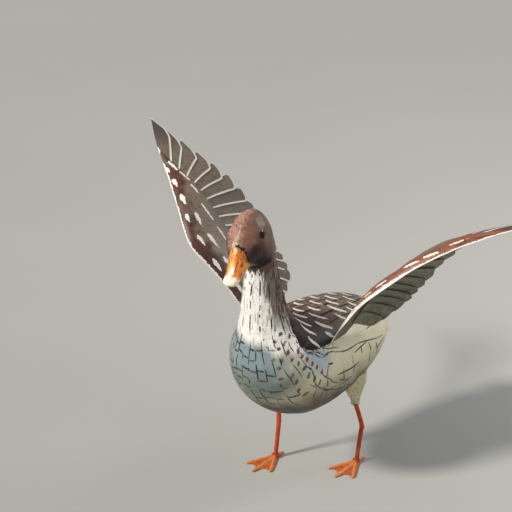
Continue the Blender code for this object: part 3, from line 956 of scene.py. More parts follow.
# by distance out from the root: height of the wing's bend, its front and rear edge, how far the
# front rolls down, and how far the rear droops
ARCH = [(-0.020, -0.030), (0, 0), (0.048, 0.068), (0.098, 0.128), (0.150, 0.178),
        (0.199, 0.222), (0.258, 0.261), (0.323, 0.291), (0.381, 0.308), (SPAN, 0.324)]
FRONT = [(-0.020, 0.014), (0, 0), (0.030, -0.018), (0.070, -0.031), (0.105, -0.045),
         (0.132, -0.051), (0.160, -0.039), (0.199, -0.013), (0.258, 0.030),
         (0.323, 0.079), (0.381, 0.130), (SPAN, 0.199)]
REAR = [(-0.020, 0.118), (0, 0.120), (0.033, 0.136), (0.061, 0.192), (0.100, 0.196),
        (0.200, 0.197), (0.270, 0.195), (0.350, 0.188), (0.400, 0.187), (SPAN, 0.199)]
ROLL = [(-0.020, 0.010), (0, 0.014), (0.040, 0.026), (0.100, 0.032), (0.200, 0.030),
        (0.270, 0.019), (0.330, 0.009), (0.400, 0.004), (SPAN, 0)]
REAR_DROP = [(-0.020, 0.012), (0, 0.014), (0.060, 0.032), (0.100, 0.030), (0.140, 0.014),
             (0.200, 0.010), (0.270, 0.014), (0.310, 0.015), (0.388, 0.003), (SPAN, 0)]
ROLL_LENGTH = 0.016


def wing(side, out, back):
    """Points of the wing's upper face."""
    out, back = np.broadcast_arrays(np.asarray(out, float), np.asarray(back, float))
    front = along(FRONT, out)
    behind = np.maximum(back - front, 0)
    roll, drop = along(ROLL, out), along(REAR_DROP, out)
    share = behind / np.maximum(along(REAR, out) - front, 1e-4)
    up = along(ARCH, out) + roll * (1 - np.exp(-behind / ROLL_LENGTH))
    up = up - (roll + drop) * share ** 1.3
    return np.stack([side * (WING_ROOT[0] + out), WING_ROOT[1] + back, WING_ROOT[2] + up], -1)


def wing_normal(side, out, back):
    """Unit normals of the upper face, averaged over a few millimetres."""
    step = 0.002
    outward = wing(side, out + step, back) - wing(side, out - step, back)
    before = np.maximum(back - step, along(FRONT, out))
    rearward = wing(side, out, back + step) - wing(side, out, before)
    square = np.cross(outward, rearward) * side
    return square / np.maximum(np.linalg.norm(square, axis=-1, keepdims=True), 1e-12)


print("a wing reaches", WING_ROOT[0] + SPAN, "m from the middle")

# %% [markdown]
# ### Covert plate
#
# The plate in front is bent down hard at its leading edge. White paint covers the edge, red
# brown the bend, and that fades to grey brown towards the feathers. The right wing has white
# blade-shaped dashes in two rows and a few thin lines along the rear edge; the left one has a
# single row along its bend.

# %% Build the covert plates
COVERT_REAR = 0.056         # the plate's rear edge, back from the wing's root
COVERT_REACH = 0.345        # its outer end, out from the root
# how wide the plate is, front to rear, where it narrows towards its outer end
COVERT_WIDTH = [(0.200, 0.069), (0.251, 0.034), (0.281, 0.021), (0.310, 0.011),
                (COVERT_REACH, 0.001)]
COVERT_THICK = 0.0016
COVERT_LIFT = 0.0034        # how high its rear edge stands off the feathers
COVERT_DENTS = [(0.0007, 45, 31)]
COVERT_COLUMNS, COVERT_ROWS = 190, 76
# the middle of each dash, out and back from the wing's root, its length and its half width
COVERT_DASHES = [(0.272, 0.046, 0.025, 0.0034), (0.235, 0.024, 0.034, 0.0050),
                 (0.194, 0.001, 0.034, 0.0050), (0.164, -0.022, 0.022, 0.0036),
                 (0.151, -0.003, 0.034, 0.0052), (0.122, -0.030, 0.026, 0.0040),
                 (0.112, -0.004, 0.034, 0.0050), (0.084, -0.026, 0.026, 0.0044),
                 (0.076, 0.000, 0.030, 0.0046), (0.044, -0.004, 0.026, 0.0044),
                 (0.036, 0.020, 0.026, 0.0040), (0.292, 0.062, 0.018, 0.0026)]
# the thin lines along the plate's rear edge: middle, length and distance in from that edge
BORDER_LINES = [(0.272, 0.030, 0.005), (0.235, 0.024, 0.004), (0.203, 0.018, 0.011),
                (0.159, 0.029, 0.024), (0.120, 0.019, 0.025), (0.080, 0.022, 0.022)]
BORDER_HALF = 0.0021
LEFT_BORDER_REACH = 0.15    # the left wing has only those nearer its root than this
# the left wing has one row along its bend instead: where each starts and ends, out from the
# root and behind the front edge, and its half width
LEFT_DASHES = [(0.052, 0.0148, 0.086, 0.0072, 0.0017), (0.105, 0.0106, 0.122, 0.0098, 0.0020),
               (0.132, 0.0130, 0.149, 0.0122, 0.0024), (0.176, 0.0140, 0.198, 0.0095, 0.0024),
               (0.206, 0.0108, 0.228, 0.0079, 0.0026), (0.243, 0.0140, 0.261, 0.0150, 0.0024)]


def covert_edge(out):
    """Rear edge of the covert plate, back from the wing's root."""
    front = along(FRONT, out)
    edge = np.where(np.asarray(out) < 0.200, COVERT_REAR, front + along(COVERT_WIDTH, out))
    return np.maximum(edge, front + 0.001)


def wing_stroke(side, out, back, length, half):
    """A dash that runs out along the wing, with one narrower end."""
    share = np.linspace(-0.5, 0.5, STROKE_POINTS)
    slope = (along(FRONT, out + 0.01) - along(FRONT, out - 0.01)) / 0.02 * 0.7
    run = length / 1.45 / np.hypot(1, slope)
    at_out = out + run * share
    at_back = np.maximum(back + run * slope * share, along(FRONT, at_out) + 0.002)
    halves = half * (0.15 + 0.85 * np.sin(0.8 * pi * (share + 0.5) ** 1.4))
    return wing(side, at_out, at_back), halves


def bend_stroke(out, behind, last_out, last_behind, half):
    """A dash on the bend of the left wing."""
    share = np.linspace(0, 1, STROKE_POINTS)
    at_out = out + (last_out - out) * share
    at_back = along(FRONT, at_out) + behind + (last_behind - behind) * share
    return wing(1, at_out, at_back), half * (0.65 + 0.35 * np.sin(pi * share))


def border_stroke(side, out, length, inset):
    """A thin line along the plate's rear edge."""
    at_out = out + length * np.linspace(-0.5, 0.5, STROKE_POINTS)
    return wing(side, at_out, covert_edge(at_out) - inset), BORDER_HALF


def build_coverts(side):
    """One covert plate with its fields: strokes, and distances from the front edge."""
    out = np.linspace(ROOT_INSIDE, COVERT_REACH, COVERT_COLUMNS)[:, None]
    front, rear = along(FRONT, out), covert_edge(out)
    share = np.linspace(0, 1, COVERT_ROWS)[None]
    back = front + (rear - front) * share ** 1.5
    normal = wing_normal(side, out, back)
    face = wing(side, out, back)
    lift = COVERT_LIFT * smooth(0.55, 1.0, share) * (1 - smooth(0.30, COVERT_REACH, out))
    lift = dented(lift, face, COVERT_DENTS)
    top = face + normal * lift[..., None]
    bead = 1 - np.exp(-(MM * (back - front) + 0.3) / 1.2)
    under = top - normal * (COVERT_THICK * (0.35 + 0.65 * bead))[..., None]
    points, faces = sheet(top, under, flip=side < 0)
    count = top.shape[0] * top.shape[1]
    run = np.concatenate([np.zeros((COVERT_COLUMNS, 1)),
                          np.cumsum(np.linalg.norm(np.diff(top, axis=1), axis=2), 1)], 1)
    if side > 0:
        strokes = [bend_stroke(*place) for place in LEFT_DASHES]
    else:
        strokes = [wing_stroke(side, *place) for place in COVERT_DASHES]
    strokes += [border_stroke(side, *place) for place in BORDER_LINES
                if side < 0 or place[0] < LEFT_BORDER_REACH]
    depth = np.full(2 * count, OUTSIDE)
    depth[:count] = stroke_depth(face.reshape(-1, 3), strokes)
    band = run * (1 if side < 0 else 0.28 + 0.22 * smooth(0.04, 0.15, out)
                  + 0.80 * smooth(0.14, 0.25, out))
    fields = {
        "up": np.repeat([1.0, 0.0], count), "dash_mm": depth,
        "front_mm": np.tile(MM * run.ravel(), 2),
        "band_mm": np.tile(MM * band.ravel(), 2),
        "rusty": np.full(2 * count, float(side > 0)),
    }
    name = "covert_plate_" + SIDES[side]
    return build(name, points, faces, fields, sharp=60)


coverts = {side: build_coverts(side) for side in SIDES}
print("a covert plate has", len(coverts[1].data.polygons), "faces")

# %% [markdown]
# ### Flight feathers
#
# Sixteen to a wing. Three corners fix each: its base behind the covert plate, the round inner
# corner of its end, and its pointed tip. Long outer feathers lean outwards; towards the body
# they get shorter and stand straighter. The feather's inner edge runs through those corners, and
# its outer edge is hidden under the neighbour.

# %% Lines of one feather
FEATHERS = 16
FIRST_TIP = 0.033           # where the innermost feather ends, out from the root
TIP_STEP = (0.0125, 0.041)  # from one tip to the next, near the body and far out
# the outermost base, the step from base to base, and how much the first few crowd together
FIRST_BASE, BASE_STEP, BASE_CROWDING = 0.264, 0.0150, 0.012
FEATHER_THICK = 0.0012
FEATHER_LIFT = 0.0034       # how high a free edge stands off the feather below it
FEATHER_ROWS, FEATHER_COLUMNS = 84, 18
FINE_STEPS = 600            # points of a path while its corners are being rounded


def feather_tips():
    """Where the feathers end, out from the root, innermost first."""
    tips = [FIRST_TIP]
    narrow, wide = TIP_STEP
    while len(tips) < FEATHERS:
        tips.append(tips[-1] + narrow + (wide - narrow) * float(smooth(0.050, 0.235, tips[-1])))
    return tips


TIPS = feather_tips()


def base_of(number):
    """Base of a feather's inner edge; number 1 is the outermost."""
    steps = number - 1
    out = FIRST_BASE - BASE_STEP * steps - BASE_CROWDING * (1 - 0.40 ** steps)
    return np.array([out, float(covert_edge(out)) - 0.012])


def tip_of(number):
    """The pointed tip of a feather."""
    out = TIPS[FEATHERS - number]
    return np.array([out, float(along(REAR, out))])


def rounded(corners, radius, count):
    """Evenly spaced points of a path through corners, each corner eased over a radius."""
    corners = np.array(corners, float)
    step = np.linalg.norm(np.diff(corners, axis=0), axis=1)
    travelled = np.concatenate([[0], np.cumsum(step)])
    fine = np.linspace(0, travelled[-1], FINE_STEPS)
    path = np.stack([np.interp(fine, travelled, column) for column in corners.T], -1)
    for _ in range(2):
        reach = int(FINE_STEPS * radius / travelled[-1] / 2)
        before = path[0] - (path[1] - path[0]) * np.arange(reach, 0, -1)[:, None]
        after = path[-1] + (path[-1] - path[-2]) * np.arange(1, reach + 1)[:, None]
        longer = np.concatenate([before, path, after])
        total = np.concatenate([np.zeros((1, 2)), np.cumsum(longer, 0)])
        window = 2 * reach + 1
        path = (total[window:] - total[:-window]) / window
    keep = np.linspace(0, len(path) - 1, count)
    return np.stack([np.interp(keep, np.arange(len(path)), column) for column in path.T], -1)


def corner_of(number):
    """The round inner corner where a feather's end begins."""
    out, back = tip_of(number)
    slant = float(smooth(0.12, 0.36, out))
    longer = float(smooth(0.18, 0.28, out))
    return np.array([out - 0.012 - 0.062 * slant, back - 0.013 - 0.022 * longer])


def inner_edge(number):
    """Path of a feather's free inner edge and end, out and back, from base to tip."""
    base, corner, tip = base_of(number), corner_of(number), tip_of(number)
    bulge = np.array([(corner[1] - tip[1]), tip[0] - corner[0]]) * 0.09
    corners = [base, corner, (corner + tip) / 2 + bulge, tip]
    if number == 1:
        corners.append([SPAN - 0.001, float(along(REAR, SPAN - 0.001))])
    return rounded(corners, 0.017, FEATHER_ROWS)


def outer_edge(number):
    """Path of a feather's other edge, under the next feather out until that one's corner."""
    if number == 1:
        out = 0.300 + (SPAN - 0.300) * np.linspace(0, 1, FEATHER_ROWS)
        return np.stack([out, along(FRONT, out) + 0.0004], -1)
    hidden = corner_of(number - 1) + np.array([0.006, -0.004])
    return rounded([base_of(number - 1) + [0.006, 0], hidden, tip_of(number)], 0.005, FEATHER_ROWS)


print("feather tips from the root, in mm:", [round(MM * tip) for tip in TIPS])

# %% Build the flight feathers
GAP_SHADOW_HALF = 0.0012         # half width of the painted shadow in the gap where a feather slips under the next
NO_FRONT = 40               # mm; stands for "far behind the wing's front edge"


def feather_plate(side, number, tone):
    """Points, faces and fields of one feather."""
    inner, outer = inner_edge(number), outer_edge(number)
    inner[-1] += (inner[-2] - inner[-1]) * 0.25
    across = np.linspace(0, 1, FEATHER_COLUMNS)[None, :, None] ** 1.2
    flat = inner[:, None] + (outer - inner)[:, None] * across
    out, back = flat[..., 0], flat[..., 1]
    back = np.maximum(back, along(FRONT, out) + 0.0002)
    normal = wing_normal(side, out, back)
    top = wing(side, out, back)
    length = np.linspace(0, 1, FEATHER_ROWS)[:, None]
    lift = FEATHER_LIFT * (0.30 + 0.70 * smooth(0.02, 0.30, length))
    lift = lift * (1 - 0.92 * smooth(0.62, 1.0, length))
    tilt = lift * (1 - across[..., 0]) - 0.0002
    camber = 0.0010 * np.sin(pi * across[..., 0]) * smooth(0.05, 0.3, length)
    bend = 0.0008 * sin(2.3 * number) * length ** 2
    calm = 1 - 0.6 * smooth(0.26, 0.42, out)
    top = top + normal * (calm * (tilt + camber + bend))[..., None]
    under = top - normal * FEATHER_THICK
    half = 0.0044 * (0.74 + 0.26 * np.sin(pi * np.clip(length[:, 0], 0.1, 0.9)))
    bare_front = number == 1 and side > 0
    grids = {
        "front_mm": MM * (back - along(FRONT, out)) if bare_front else NO_FRONT + 0 * out,
        "shade": smooth(0.30, 0.40, out) * (number < 3),
        "length": length + 0 * out,
    }
    points, faces = sheet(top, under, flip=side > 0)
    fields = {name: np.tile(grid.ravel(), 2) for name, grid in grids.items()}
    fields["edge_mm"] = stroke_depth(points, [(top[:, 0], half)])
    # painted shadow: a dark line where each feather slips under the next
    fields["gap_shadow_mm"] = stroke_depth(points, [(under[:, -1], GAP_SHADOW_HALF)])
    fields["up"] = np.repeat([1.0, 0.0], out.size)
    fields["tone"] = np.full(2 * out.size, tone)
    return points, faces, fields


def build_feathers(side):
    """All the flight feathers of one wing, from the outermost inwards."""
    chance = random.Random(5)
    plates = [feather_plate(side, number + 1, chance.random()) for number in range(FEATHERS)]
    name = "flight_feather_plates_" + SIDES[side]
    return build(name, *joined(plates), sharp=50)


flights = {side: build_feathers(side) for side in SIDES}
print("the flight feathers of a wing have", len(flights[1].data.polygons), "faces")

# %% [markdown]
# ## Tail, legs and feet
#
# The tail is a fan of eight short feathers, the middle ones on top, brown with white ends. Each
# leg is a hammered cone welded under the belly, a bent rod as the shin, and a foot cut from
# plate with a rod along each toe.

# %% Build the tail
TAIL_ROOT = np.array((0, 0.190 + PLACE_Y, 0.298))
TAIL_LENGTH, TAIL_RISE, TAIL_DROP, TAIL_HALF = 0.116, -0.006, 0.010, 0.056
TAIL_FEATHERS = 8
TAIL_ROWS, TAIL_COLUMNS = 46, 15
TAIL_WHITE_FROM = 24        # the row where the white outline of a feather's end begins
TAIL_WHITE_HALF = 0.0030


def tail_place(across, f, lift=0.0):
    """Points of the fan: across from -1 to 1, and f from root to end."""
    side = across * TAIL_HALF * (0.50 + 0.50 * f)
    length = TAIL_LENGTH * (1 - 0.30 * across ** 2) * f
    up = TAIL_RISE * f - TAIL_DROP * across ** 2 + lift
    return TAIL_ROOT + np.stack(np.broadcast_arrays(side, length, up), -1)


def tail_feather(number, shade):
    """Points, faces and fields of one feather of the tail."""
    centre = (number + 0.5) / TAIL_FEATHERS * 2 - 1
    f = np.linspace(0, 1, TAIL_ROWS)[:, None]
    u = np.linspace(-1, 1, TAIL_COLUMNS)[None]
    end = 1 - 0.10 * np.abs(u) ** 2.4 - 0.02 * (1 - u)
    narrow = 0.155 * (1 - 0.10 * smooth(0.8, 1.0, f))
    lift = 0.0042 * (1 - abs(centre)) + 0.0012 * (1 - u ** 2) + 0.0006 * shade.random()
    top = tail_place(centre + u * narrow, f * end, lift)
    points, faces = sheet(top, top - np.array([0, 0, FEATHER_THICK]), flip=True)
    white = top[TAIL_WHITE_FROM:]
    outline = np.concatenate([white[:, 0], top[-1, 1:-1], white[::-1, -1]])
    fields = {
        "edge_mm": stroke_depth(points, [(outline, TAIL_WHITE_HALF)]),
        "up": np.repeat([1.0, 0.0], TAIL_ROWS * TAIL_COLUMNS),
        "tone": np.full(len(points), shade.random()),
        "front_mm": np.full(len(points), NO_FRONT),
    }
    return points, faces, fields


def build_tail():
    """The fan of the tail."""
    shade = random.Random(9)
    plates = [tail_feather(number, shade) for number in range(TAIL_FEATHERS)]
    return build("tail_fan", *joined(plates), sharp=50)


tail = build_tail()
print("the tail has", TAIL_FEATHERS, "feathers")

# %% Build the legs
THIGH_WIDE, THIGH_NARROW, ROD, SOLE = 0.030, 0.0075, 0.005, 0.003
THIGH_RINGS, THIGH_SIDES = 70, 64
THIGH_BULGE, THIGH_COLLAR = 0.0045, 0.0022  # fuller high up, and a collar at the lower end
HATCH_RINGS, HATCHES, HATCH_HALF = 5, 11, 0.0008
ROD_RINGS, ROD_SIDES = 90, 26
# each leg's line: the thigh's top and end, two points of the rod's bend, and the sole
LEGS = {
    "left": [(0.073, 0.066, 0.212), (0.075, 0.079, 0.140), (0.077, 0.102, 0.081),
             (0.078, 0.098, 0.066), (0.079, 0.082, SOLE)],
    "right": [(-0.069, 0, 0.212), (-0.070, 0.0065, 0.140), (-0.070, 0.008, 0.090),
              (-0.070, 0.0065, 0.070), (-0.071, -0.002, SOLE)],
}


def round_bar(path, radii, sides):
    """Rings of a round bar along a path, level with the floor."""
    turn = -np.linspace(0, 2 * pi, sides, endpoint=False)[None, :, None]
    ring = np.concatenate([np.cos(turn), np.sin(turn), 0 * turn], -1)
    return path[:, None] + np.asarray(radii)[:, None, None] * ring + np.array((0, PLACE_Y, 0))


def outward(grid):
    """Outward unit normals of a level ringed grid."""
    away = grid - grid.mean(1, keepdims=True)
    return away / np.maximum(np.linalg.norm(away, axis=-1, keepdims=True), 1e-9)


def build_thigh(side):
    """The cone of one thigh, with short upright hatches painted on it."""
    top, end = (np.array(p) for p in LEGS[side][:2])
    f = np.linspace(-0.10, 1, THIGH_RINGS)
    path = top + (end - top) * f[:, None]
    radii = THIGH_WIDE + (THIGH_NARROW - THIGH_WIDE) * np.clip(f, 0, 1) ** 0.8
    radii = radii + THIGH_BULGE * bell(f - 0.32, 0.26)
    radii = radii + THIGH_COLLAR * bell(f - 0.985, 0.025)
    grid = round_bar(path, radii, THIGH_SIDES)
    grid = grid + outward(grid) * (0.0008 * dents(grid, 20, 41))[..., None]
    hatches = []
    chance = random.Random(17)
    for ring in range(HATCH_RINGS):
        for k in range(HATCHES):
            first = int(THIGH_RINGS * (0.16 + 0.16 * ring + chance.uniform(-0.03, 0.03)))
            turn = (k + 0.5 * (ring % 2) + chance.uniform(-0.15, 0.15)) / HATCHES
            turn = int(THIGH_SIDES * turn) % THIGH_SIDES
            path = grid[first:min(first + chance.randint(4, 9), THIGH_RINGS - 1), turn]
            hatches.append((path, HATCH_HALF))
    points, faces = closed_tube(grid)
    fields = {"dash_mm": stroke_depth(points, hatches)}
    return build("thigh_cone_" + side, points, faces, fields, sharp=60)


def build_rod(side):
    """The bent rod of one leg, a little thicker at its joint."""
    rows = LEGS[side][1:]
    f = np.linspace(0, 1, ROD_RINGS)
    path = through_rows(rows, (len(rows) - 1) * f)
    radii = ROD * (1 + 0.10 * bell(f - 0.42, 0.10) - 0.06 * f)
    grid = round_bar(path, radii, ROD_SIDES)
    grid = grid + outward(grid) * (0.00022 * dents(grid, 7, 43))[..., None]
    points, faces = closed_tube(grid)
    return build("leg_rod_" + side, points, faces, sharp=60)


thighs = {side: build_thigh(side) for side in LEGS}
rods = {side: build_rod(side) for side in LEGS}
print("two thighs and two rods, the feet", MM * SOLE, "mm thick at the sole")

# %% Build the feet
TOE_LENGTHS = (0.068, 0.080, 0.066)
TOE_SPREAD = radians(27)
HEEL_ROD = (0, -1, 0.024)   # the rod behind the ankle: its way and its length
FOOT_TURNS, FOOT_RINGS = 420, 34
TOE_HIGH, TOE_TAPER, TOE_HALF = 0.0052, 0.0030, 0.0032  # the rod along a toe, over the sole
KNUCKLE_HIGH, KNUCKLE_LONG = 0.0005, 0.0045


def foot_outline():
    """Corners of a webbed foot, to its own right and ahead of the ankle."""
    outline = [(-0.006, -0.010), (-0.003, -0.026), (0.003, -0.026), (0.006, -0.010),
               (0.0095, 0.004)]
    toes = []
    for spread, length in zip((TOE_SPREAD, 0, -TOE_SPREAD), TOE_LENGTHS):
        toes.append((sin(spread), cos(spread), length))
    for number, (right, ahead, length) in enumerate(toes):
        for across, along_it in ((0.0055, -0.012), (0.0026, -0.004), (0.0009, 0.0),
                                 (-0.0009, 0.0), (-0.0026, -0.004), (-0.0055, -0.012)):
            outline.append((right * (length + along_it) + ahead * across,
                            ahead * (length + along_it) - right * across))
        if number < 2:
            end = np.array((right, ahead)) * length
            after = np.array(toes[number + 1][:2]) * toes[number + 1][2]
            for share in (0.2, 0.35, 0.5, 0.65, 0.8):
                web = (end + (after - end) * share) * (0.90 - 0.12 * sin(pi * share))
                outline.append(tuple(web))
    outline.append((-0.0095, 0.004))
    return np.array(outline), toes


def reach_of(outline, centre, turn):
    """How far the outline is from its centre, in each direction."""
    way = np.stack([np.sin(turn), np.cos(turn)], -1)
    best = np.zeros(len(turn))
    for a, b in zip(outline - centre, np.roll(outline, -1, 0) - centre):
        edge = b - a
        cross = way[:, 0] * edge[1] - way[:, 1] * edge[0]
        safe = np.where(np.abs(cross) < 1e-12, 1e-12, cross)
        far = (a[0] * edge[1] - a[1] * edge[0]) / safe
        share = (a[0] * way[:, 1] - a[1] * way[:, 0]) / safe
        best = np.maximum(best, np.where((share >= 0) & (share <= 1) & (far > 0), far, 0))
    return best


def build_foot(side):
    """One webbed foot: a plate with a rod along each toe."""
    heel = np.array(LEGS[side][-1]) + np.array((0, PLACE_Y, 0))
    outline, toes = foot_outline()
    centre = np.array((0.0, 0.006))
    turn = np.linspace(0, 2 * pi, FOOT_TURNS, endpoint=False)
    reach = reach_of(outline, centre, turn)
    f = np.linspace(0.02, 1, FOOT_RINGS)[:, None]
    right = centre[0] + f * reach * np.sin(turn)
    ahead = centre[1] + f * reach * np.cos(turn)
    ridge = np.zeros_like(right)
    for x, y, length in toes + [HEEL_ROD]:
        down = np.clip(right * x + ahead * y, 0, length)
        gap = np.hypot(right - down * x, ahead - down * y)
        height = TOE_HIGH - TOE_TAPER * down / length
        height = height + KNUCKLE_HIGH * np.sin(down / KNUCKLE_LONG)
        ridge = np.maximum(ridge, height * bell(gap, TOE_HALF))
    up = SOLE + ridge + 0.0002 * dents(np.stack([right, ahead, 0 * right], -1), 8, 51)
    sign = 1 if side == "left" else -1
    top = np.stack([heel[0] + sign * right, heel[1] - ahead, up * (1 - 0.25 * f ** 8)], -1)
    rim = np.concatenate([top[-1:], top[-1:] * (1, 1, 0)])
    floor = top[::-1] * (1, 1, 0)
    grid = np.concatenate([top, rim[1:], floor[1:]])
    points, faces = closed_tube(grid)
    if side == "left":
        faces = [face[::-1] for face in faces]
    fields = {"toe_mm": MM * np.concatenate([np.concatenate(
        [ridge, ridge[-1:] * 0, ridge[:0:-1] * 0]).ravel(), [0.004, 0.0]])}
    return build("webbed_foot_" + side, points, faces, fields, sharp=50)


feet = {side: build_foot(side) for side in LEGS}
print("a foot has", len(feet["left"].data.polygons), "faces")

# %% [markdown]
# ## Weld beads
#
# The parts are stick-welded by hand, and each joint keeps its bead: a row of small overlapping
# drops. One Geometry Nodes tree makes them all. It takes a line, sets points along it at the
# pace of the welder, and puts a flattened drop on each point, each a little different in size
# and turn.

# %% The tree of the weld beads
def bead_tree():
    tree = bpy.data.node_groups.new("weld bead", "GeometryNodeTree")
    tree.interface.new_socket("Line", in_out="INPUT", socket_type="NodeSocketGeometry")
    for name, kind, value in (("Width", "NodeSocketFloat", 0.006),
                              ("Pace", "NodeSocketFloat", 0.002), ("Seed", "NodeSocketInt", 1)):
        socket = tree.interface.new_socket(name, in_out="INPUT", socket_type=kind)
        socket.default_value = value
    tree.interface.new_socket("Paint", in_out="INPUT", socket_type="NodeSocketMaterial")
    tree.interface.new_socket("Bead", in_out="OUTPUT", socket_type="NodeSocketGeometry")
    given = add(tree, "NodeGroupInput").outputs
    curve = add(tree, "GeometryNodeMeshToCurve", {"Mesh": given["Line"]}).outputs[0]
    dots = add(tree, "GeometryNodeCurveToPoints", {"Curve": curve, "Length": given["Pace"]},
               mode="LENGTH")
    drop = add(tree, "GeometryNodeMeshUVSphere", {"Segments": 8, "Rings": 5,
                                                  "Radius": 0.5}).outputs[0]
    size, twist = (
        add(tree, "FunctionNodeRandomValue", {"Min": low, "Max": high, "Seed": given["Seed"]},
            data_type="FLOAT_VECTOR").outputs[0]
        for low, high in (((0.80, 0.70, 0.62), (1.15, 1.2, 0.9)), ((-0.3,) * 3, (0.3,) * 3)))
    wide = add(tree, "ShaderNodeVectorMath", {0: size, "Scale": given["Width"]},
               operation="SCALE").outputs[0]
    turned = add(tree, "FunctionNodeRotateRotation", {0: dots.outputs["Rotation"],
                                                      1: twist}).outputs[0]
    drops = add(tree, "GeometryNodeInstanceOnPoints",
                {"Points": dots.outputs[0], "Instance": drop, "Rotation": turned, "Scale": wide})
    solid = add(tree, "GeometryNodeRealizeInstances", {0: drops.outputs[0]}).outputs[0]
    round_ones = add(tree, "GeometryNodeSetShadeSmooth", {0: solid}).outputs[0]
    painted = add(tree, "GeometryNodeSetMaterial", {"Geometry": round_ones,
                                                    "Material": given["Paint"]}).outputs[0]
    add(tree, "NodeGroupOutput", {"Bead": painted})
    return tree


def bead(tree, name, path, width, pace, seed, paint, closed=False):
    """Weld bead along a path of points, as a plain mesh."""
    count = len(path)
    line = bpy.data.meshes.new(name + "_line")
    pairs = [(k, k + 1) for k in range(count - 1)] + ([(count - 1, 0)] if closed else [])
    line.from_pydata([tuple(map(float, p)) for p in path], pairs, [])
    carrier = bpy.data.objects.new(name + "_line", line)
    bpy.context.scene.collection.objects.link(carrier)
    modifier = carrier.modifiers.new("bead", "NODES")
    modifier.node_group = tree
    values = {"Width": width, "Pace": pace, "Seed": seed, "Paint": paint}
    for socket in tree.interface.items_tree:
        if socket.name in values:
            modifier[socket.identifier] = values[socket.name]
    ready = carrier.evaluated_get(bpy.context.evaluated_depsgraph_get())
    mesh = bpy.data.meshes.new_from_object(ready)
    thing = bpy.data.objects.new(name, mesh)
    bpy.context.scene.collection.objects.link(thing)
    bpy.data.objects.remove(carrier)
    return thing


weld_tree = bead_tree()
print("the bead tree has", len(weld_tree.nodes), "nodes")

# %% Lines of the welds
RING_POINTS = 24            # points of the ring round a shin or an ankle
BEAD_PACE = 0.38            # from drop to drop, as a share of the bead's width


def weld_lines():
    """Every welded joint: its name, its path, the bead's width and whether it closes."""
    lines = []
    for side, name in SIDES.items():
        back = np.linspace(0.004, 0.110, 24)
        lines.append(("wing_root_" + name, wing(side, 0.0, back) - (0, 0, 0.003), 0.006, False))
    for name, (_, end, *_, sole) in LEGS.items():
        for joint, at, up, radius, width in (("shin_", end, 0.001, THIGH_NARROW + 0.0006, 0.004),
                                             ("ankle_", sole, 0.0035, 0.0062, 0.005)):
            ring = round_bar((np.array(at) + (0, 0, up))[None], [radius], RING_POINTS)[0]
            lines.append((joint + name, ring, width, True))
    across = np.linspace(-0.62, 0.62, 26)
    lines.append(("tail_root", tail_place(across, 0.20, 0.001), 0.006, False))
    return lines


welds = weld_lines()
for name, path, width, closed in welds:
    length = float(np.linalg.norm(np.diff(path, axis=0), axis=1).sum())
    print("weld", name, "is", round(MM * length), "mm long")

# %% [markdown]
# ## Enamel on steel
#
# All the paint is the same stuff: alkyd enamel, brushed on by hand over primed sheet steel. It
# dries to a satin skin that keeps the bristle marks, so its roughness is about 0.4 to 0.55 and a
# fine bump runs through it. Under the open edge of a stroke the coat below shows, which is why
# each mask has a ragged edge as wide as a bristle clump, one to two millimetres.

# %% The finish shared by all paint
def satin(material, place, colour, roughness=0.45, bristle=0.25, stretch=(1, 1, 0.22),
          specular=0.5, coat=0.04):
    """Satin enamel: cloudy roughness, bristle marks in its bump, and a thin gloss."""
    tree, shader = place.id_data, shader_of(place)
    cloud = grain(place, 22, 3)
    rough = add(tree, "ShaderNodeMapRange", {"Value": cloud, "To Min": roughness - 0.10,
                                             "To Max": roughness + 0.14}).outputs[0]
    marks = grain(place, 1.8, 3, stretch=stretch)
    bump = add(tree, "ShaderNodeBump", {"Strength": bristle, "Distance": 0.0006,
                                        "Height": marks}).outputs[0]
    tree.links.new(colour, shader.inputs["Base Color"])
    tree.links.new(rough, shader.inputs["Roughness"])
    tree.links.new(bump, shader.inputs["Normal"])
    for name, value in (("IOR", 1.42), ("Specular IOR Level", specular), ("Coat Weight", coat),
                        ("Coat Roughness", 0.30)):
        shader.inputs[name].default_value = value
    return material


def worn(place, colour, steps=((90, 0.12), (9, 0.10))):
    """The colour made lighter and darker in patches, as hand-mixed paint dries."""
    colour = linear(colour)
    for size, strength in steps:
        patch = grain(place, size, 4)
        limits = {"Value": patch, "From Min": 0.3, "From Max": 0.7, "To Min": 1 - strength,
                  "To Max": 1 + strength}
        value = add(place.id_data, "ShaderNodeMapRange", limits).outputs[0]
        inputs = {"Value": value, "Color": colour}
        colour = add(place.id_data, "ShaderNodeHueSaturation", inputs).outputs[0]
    return colour
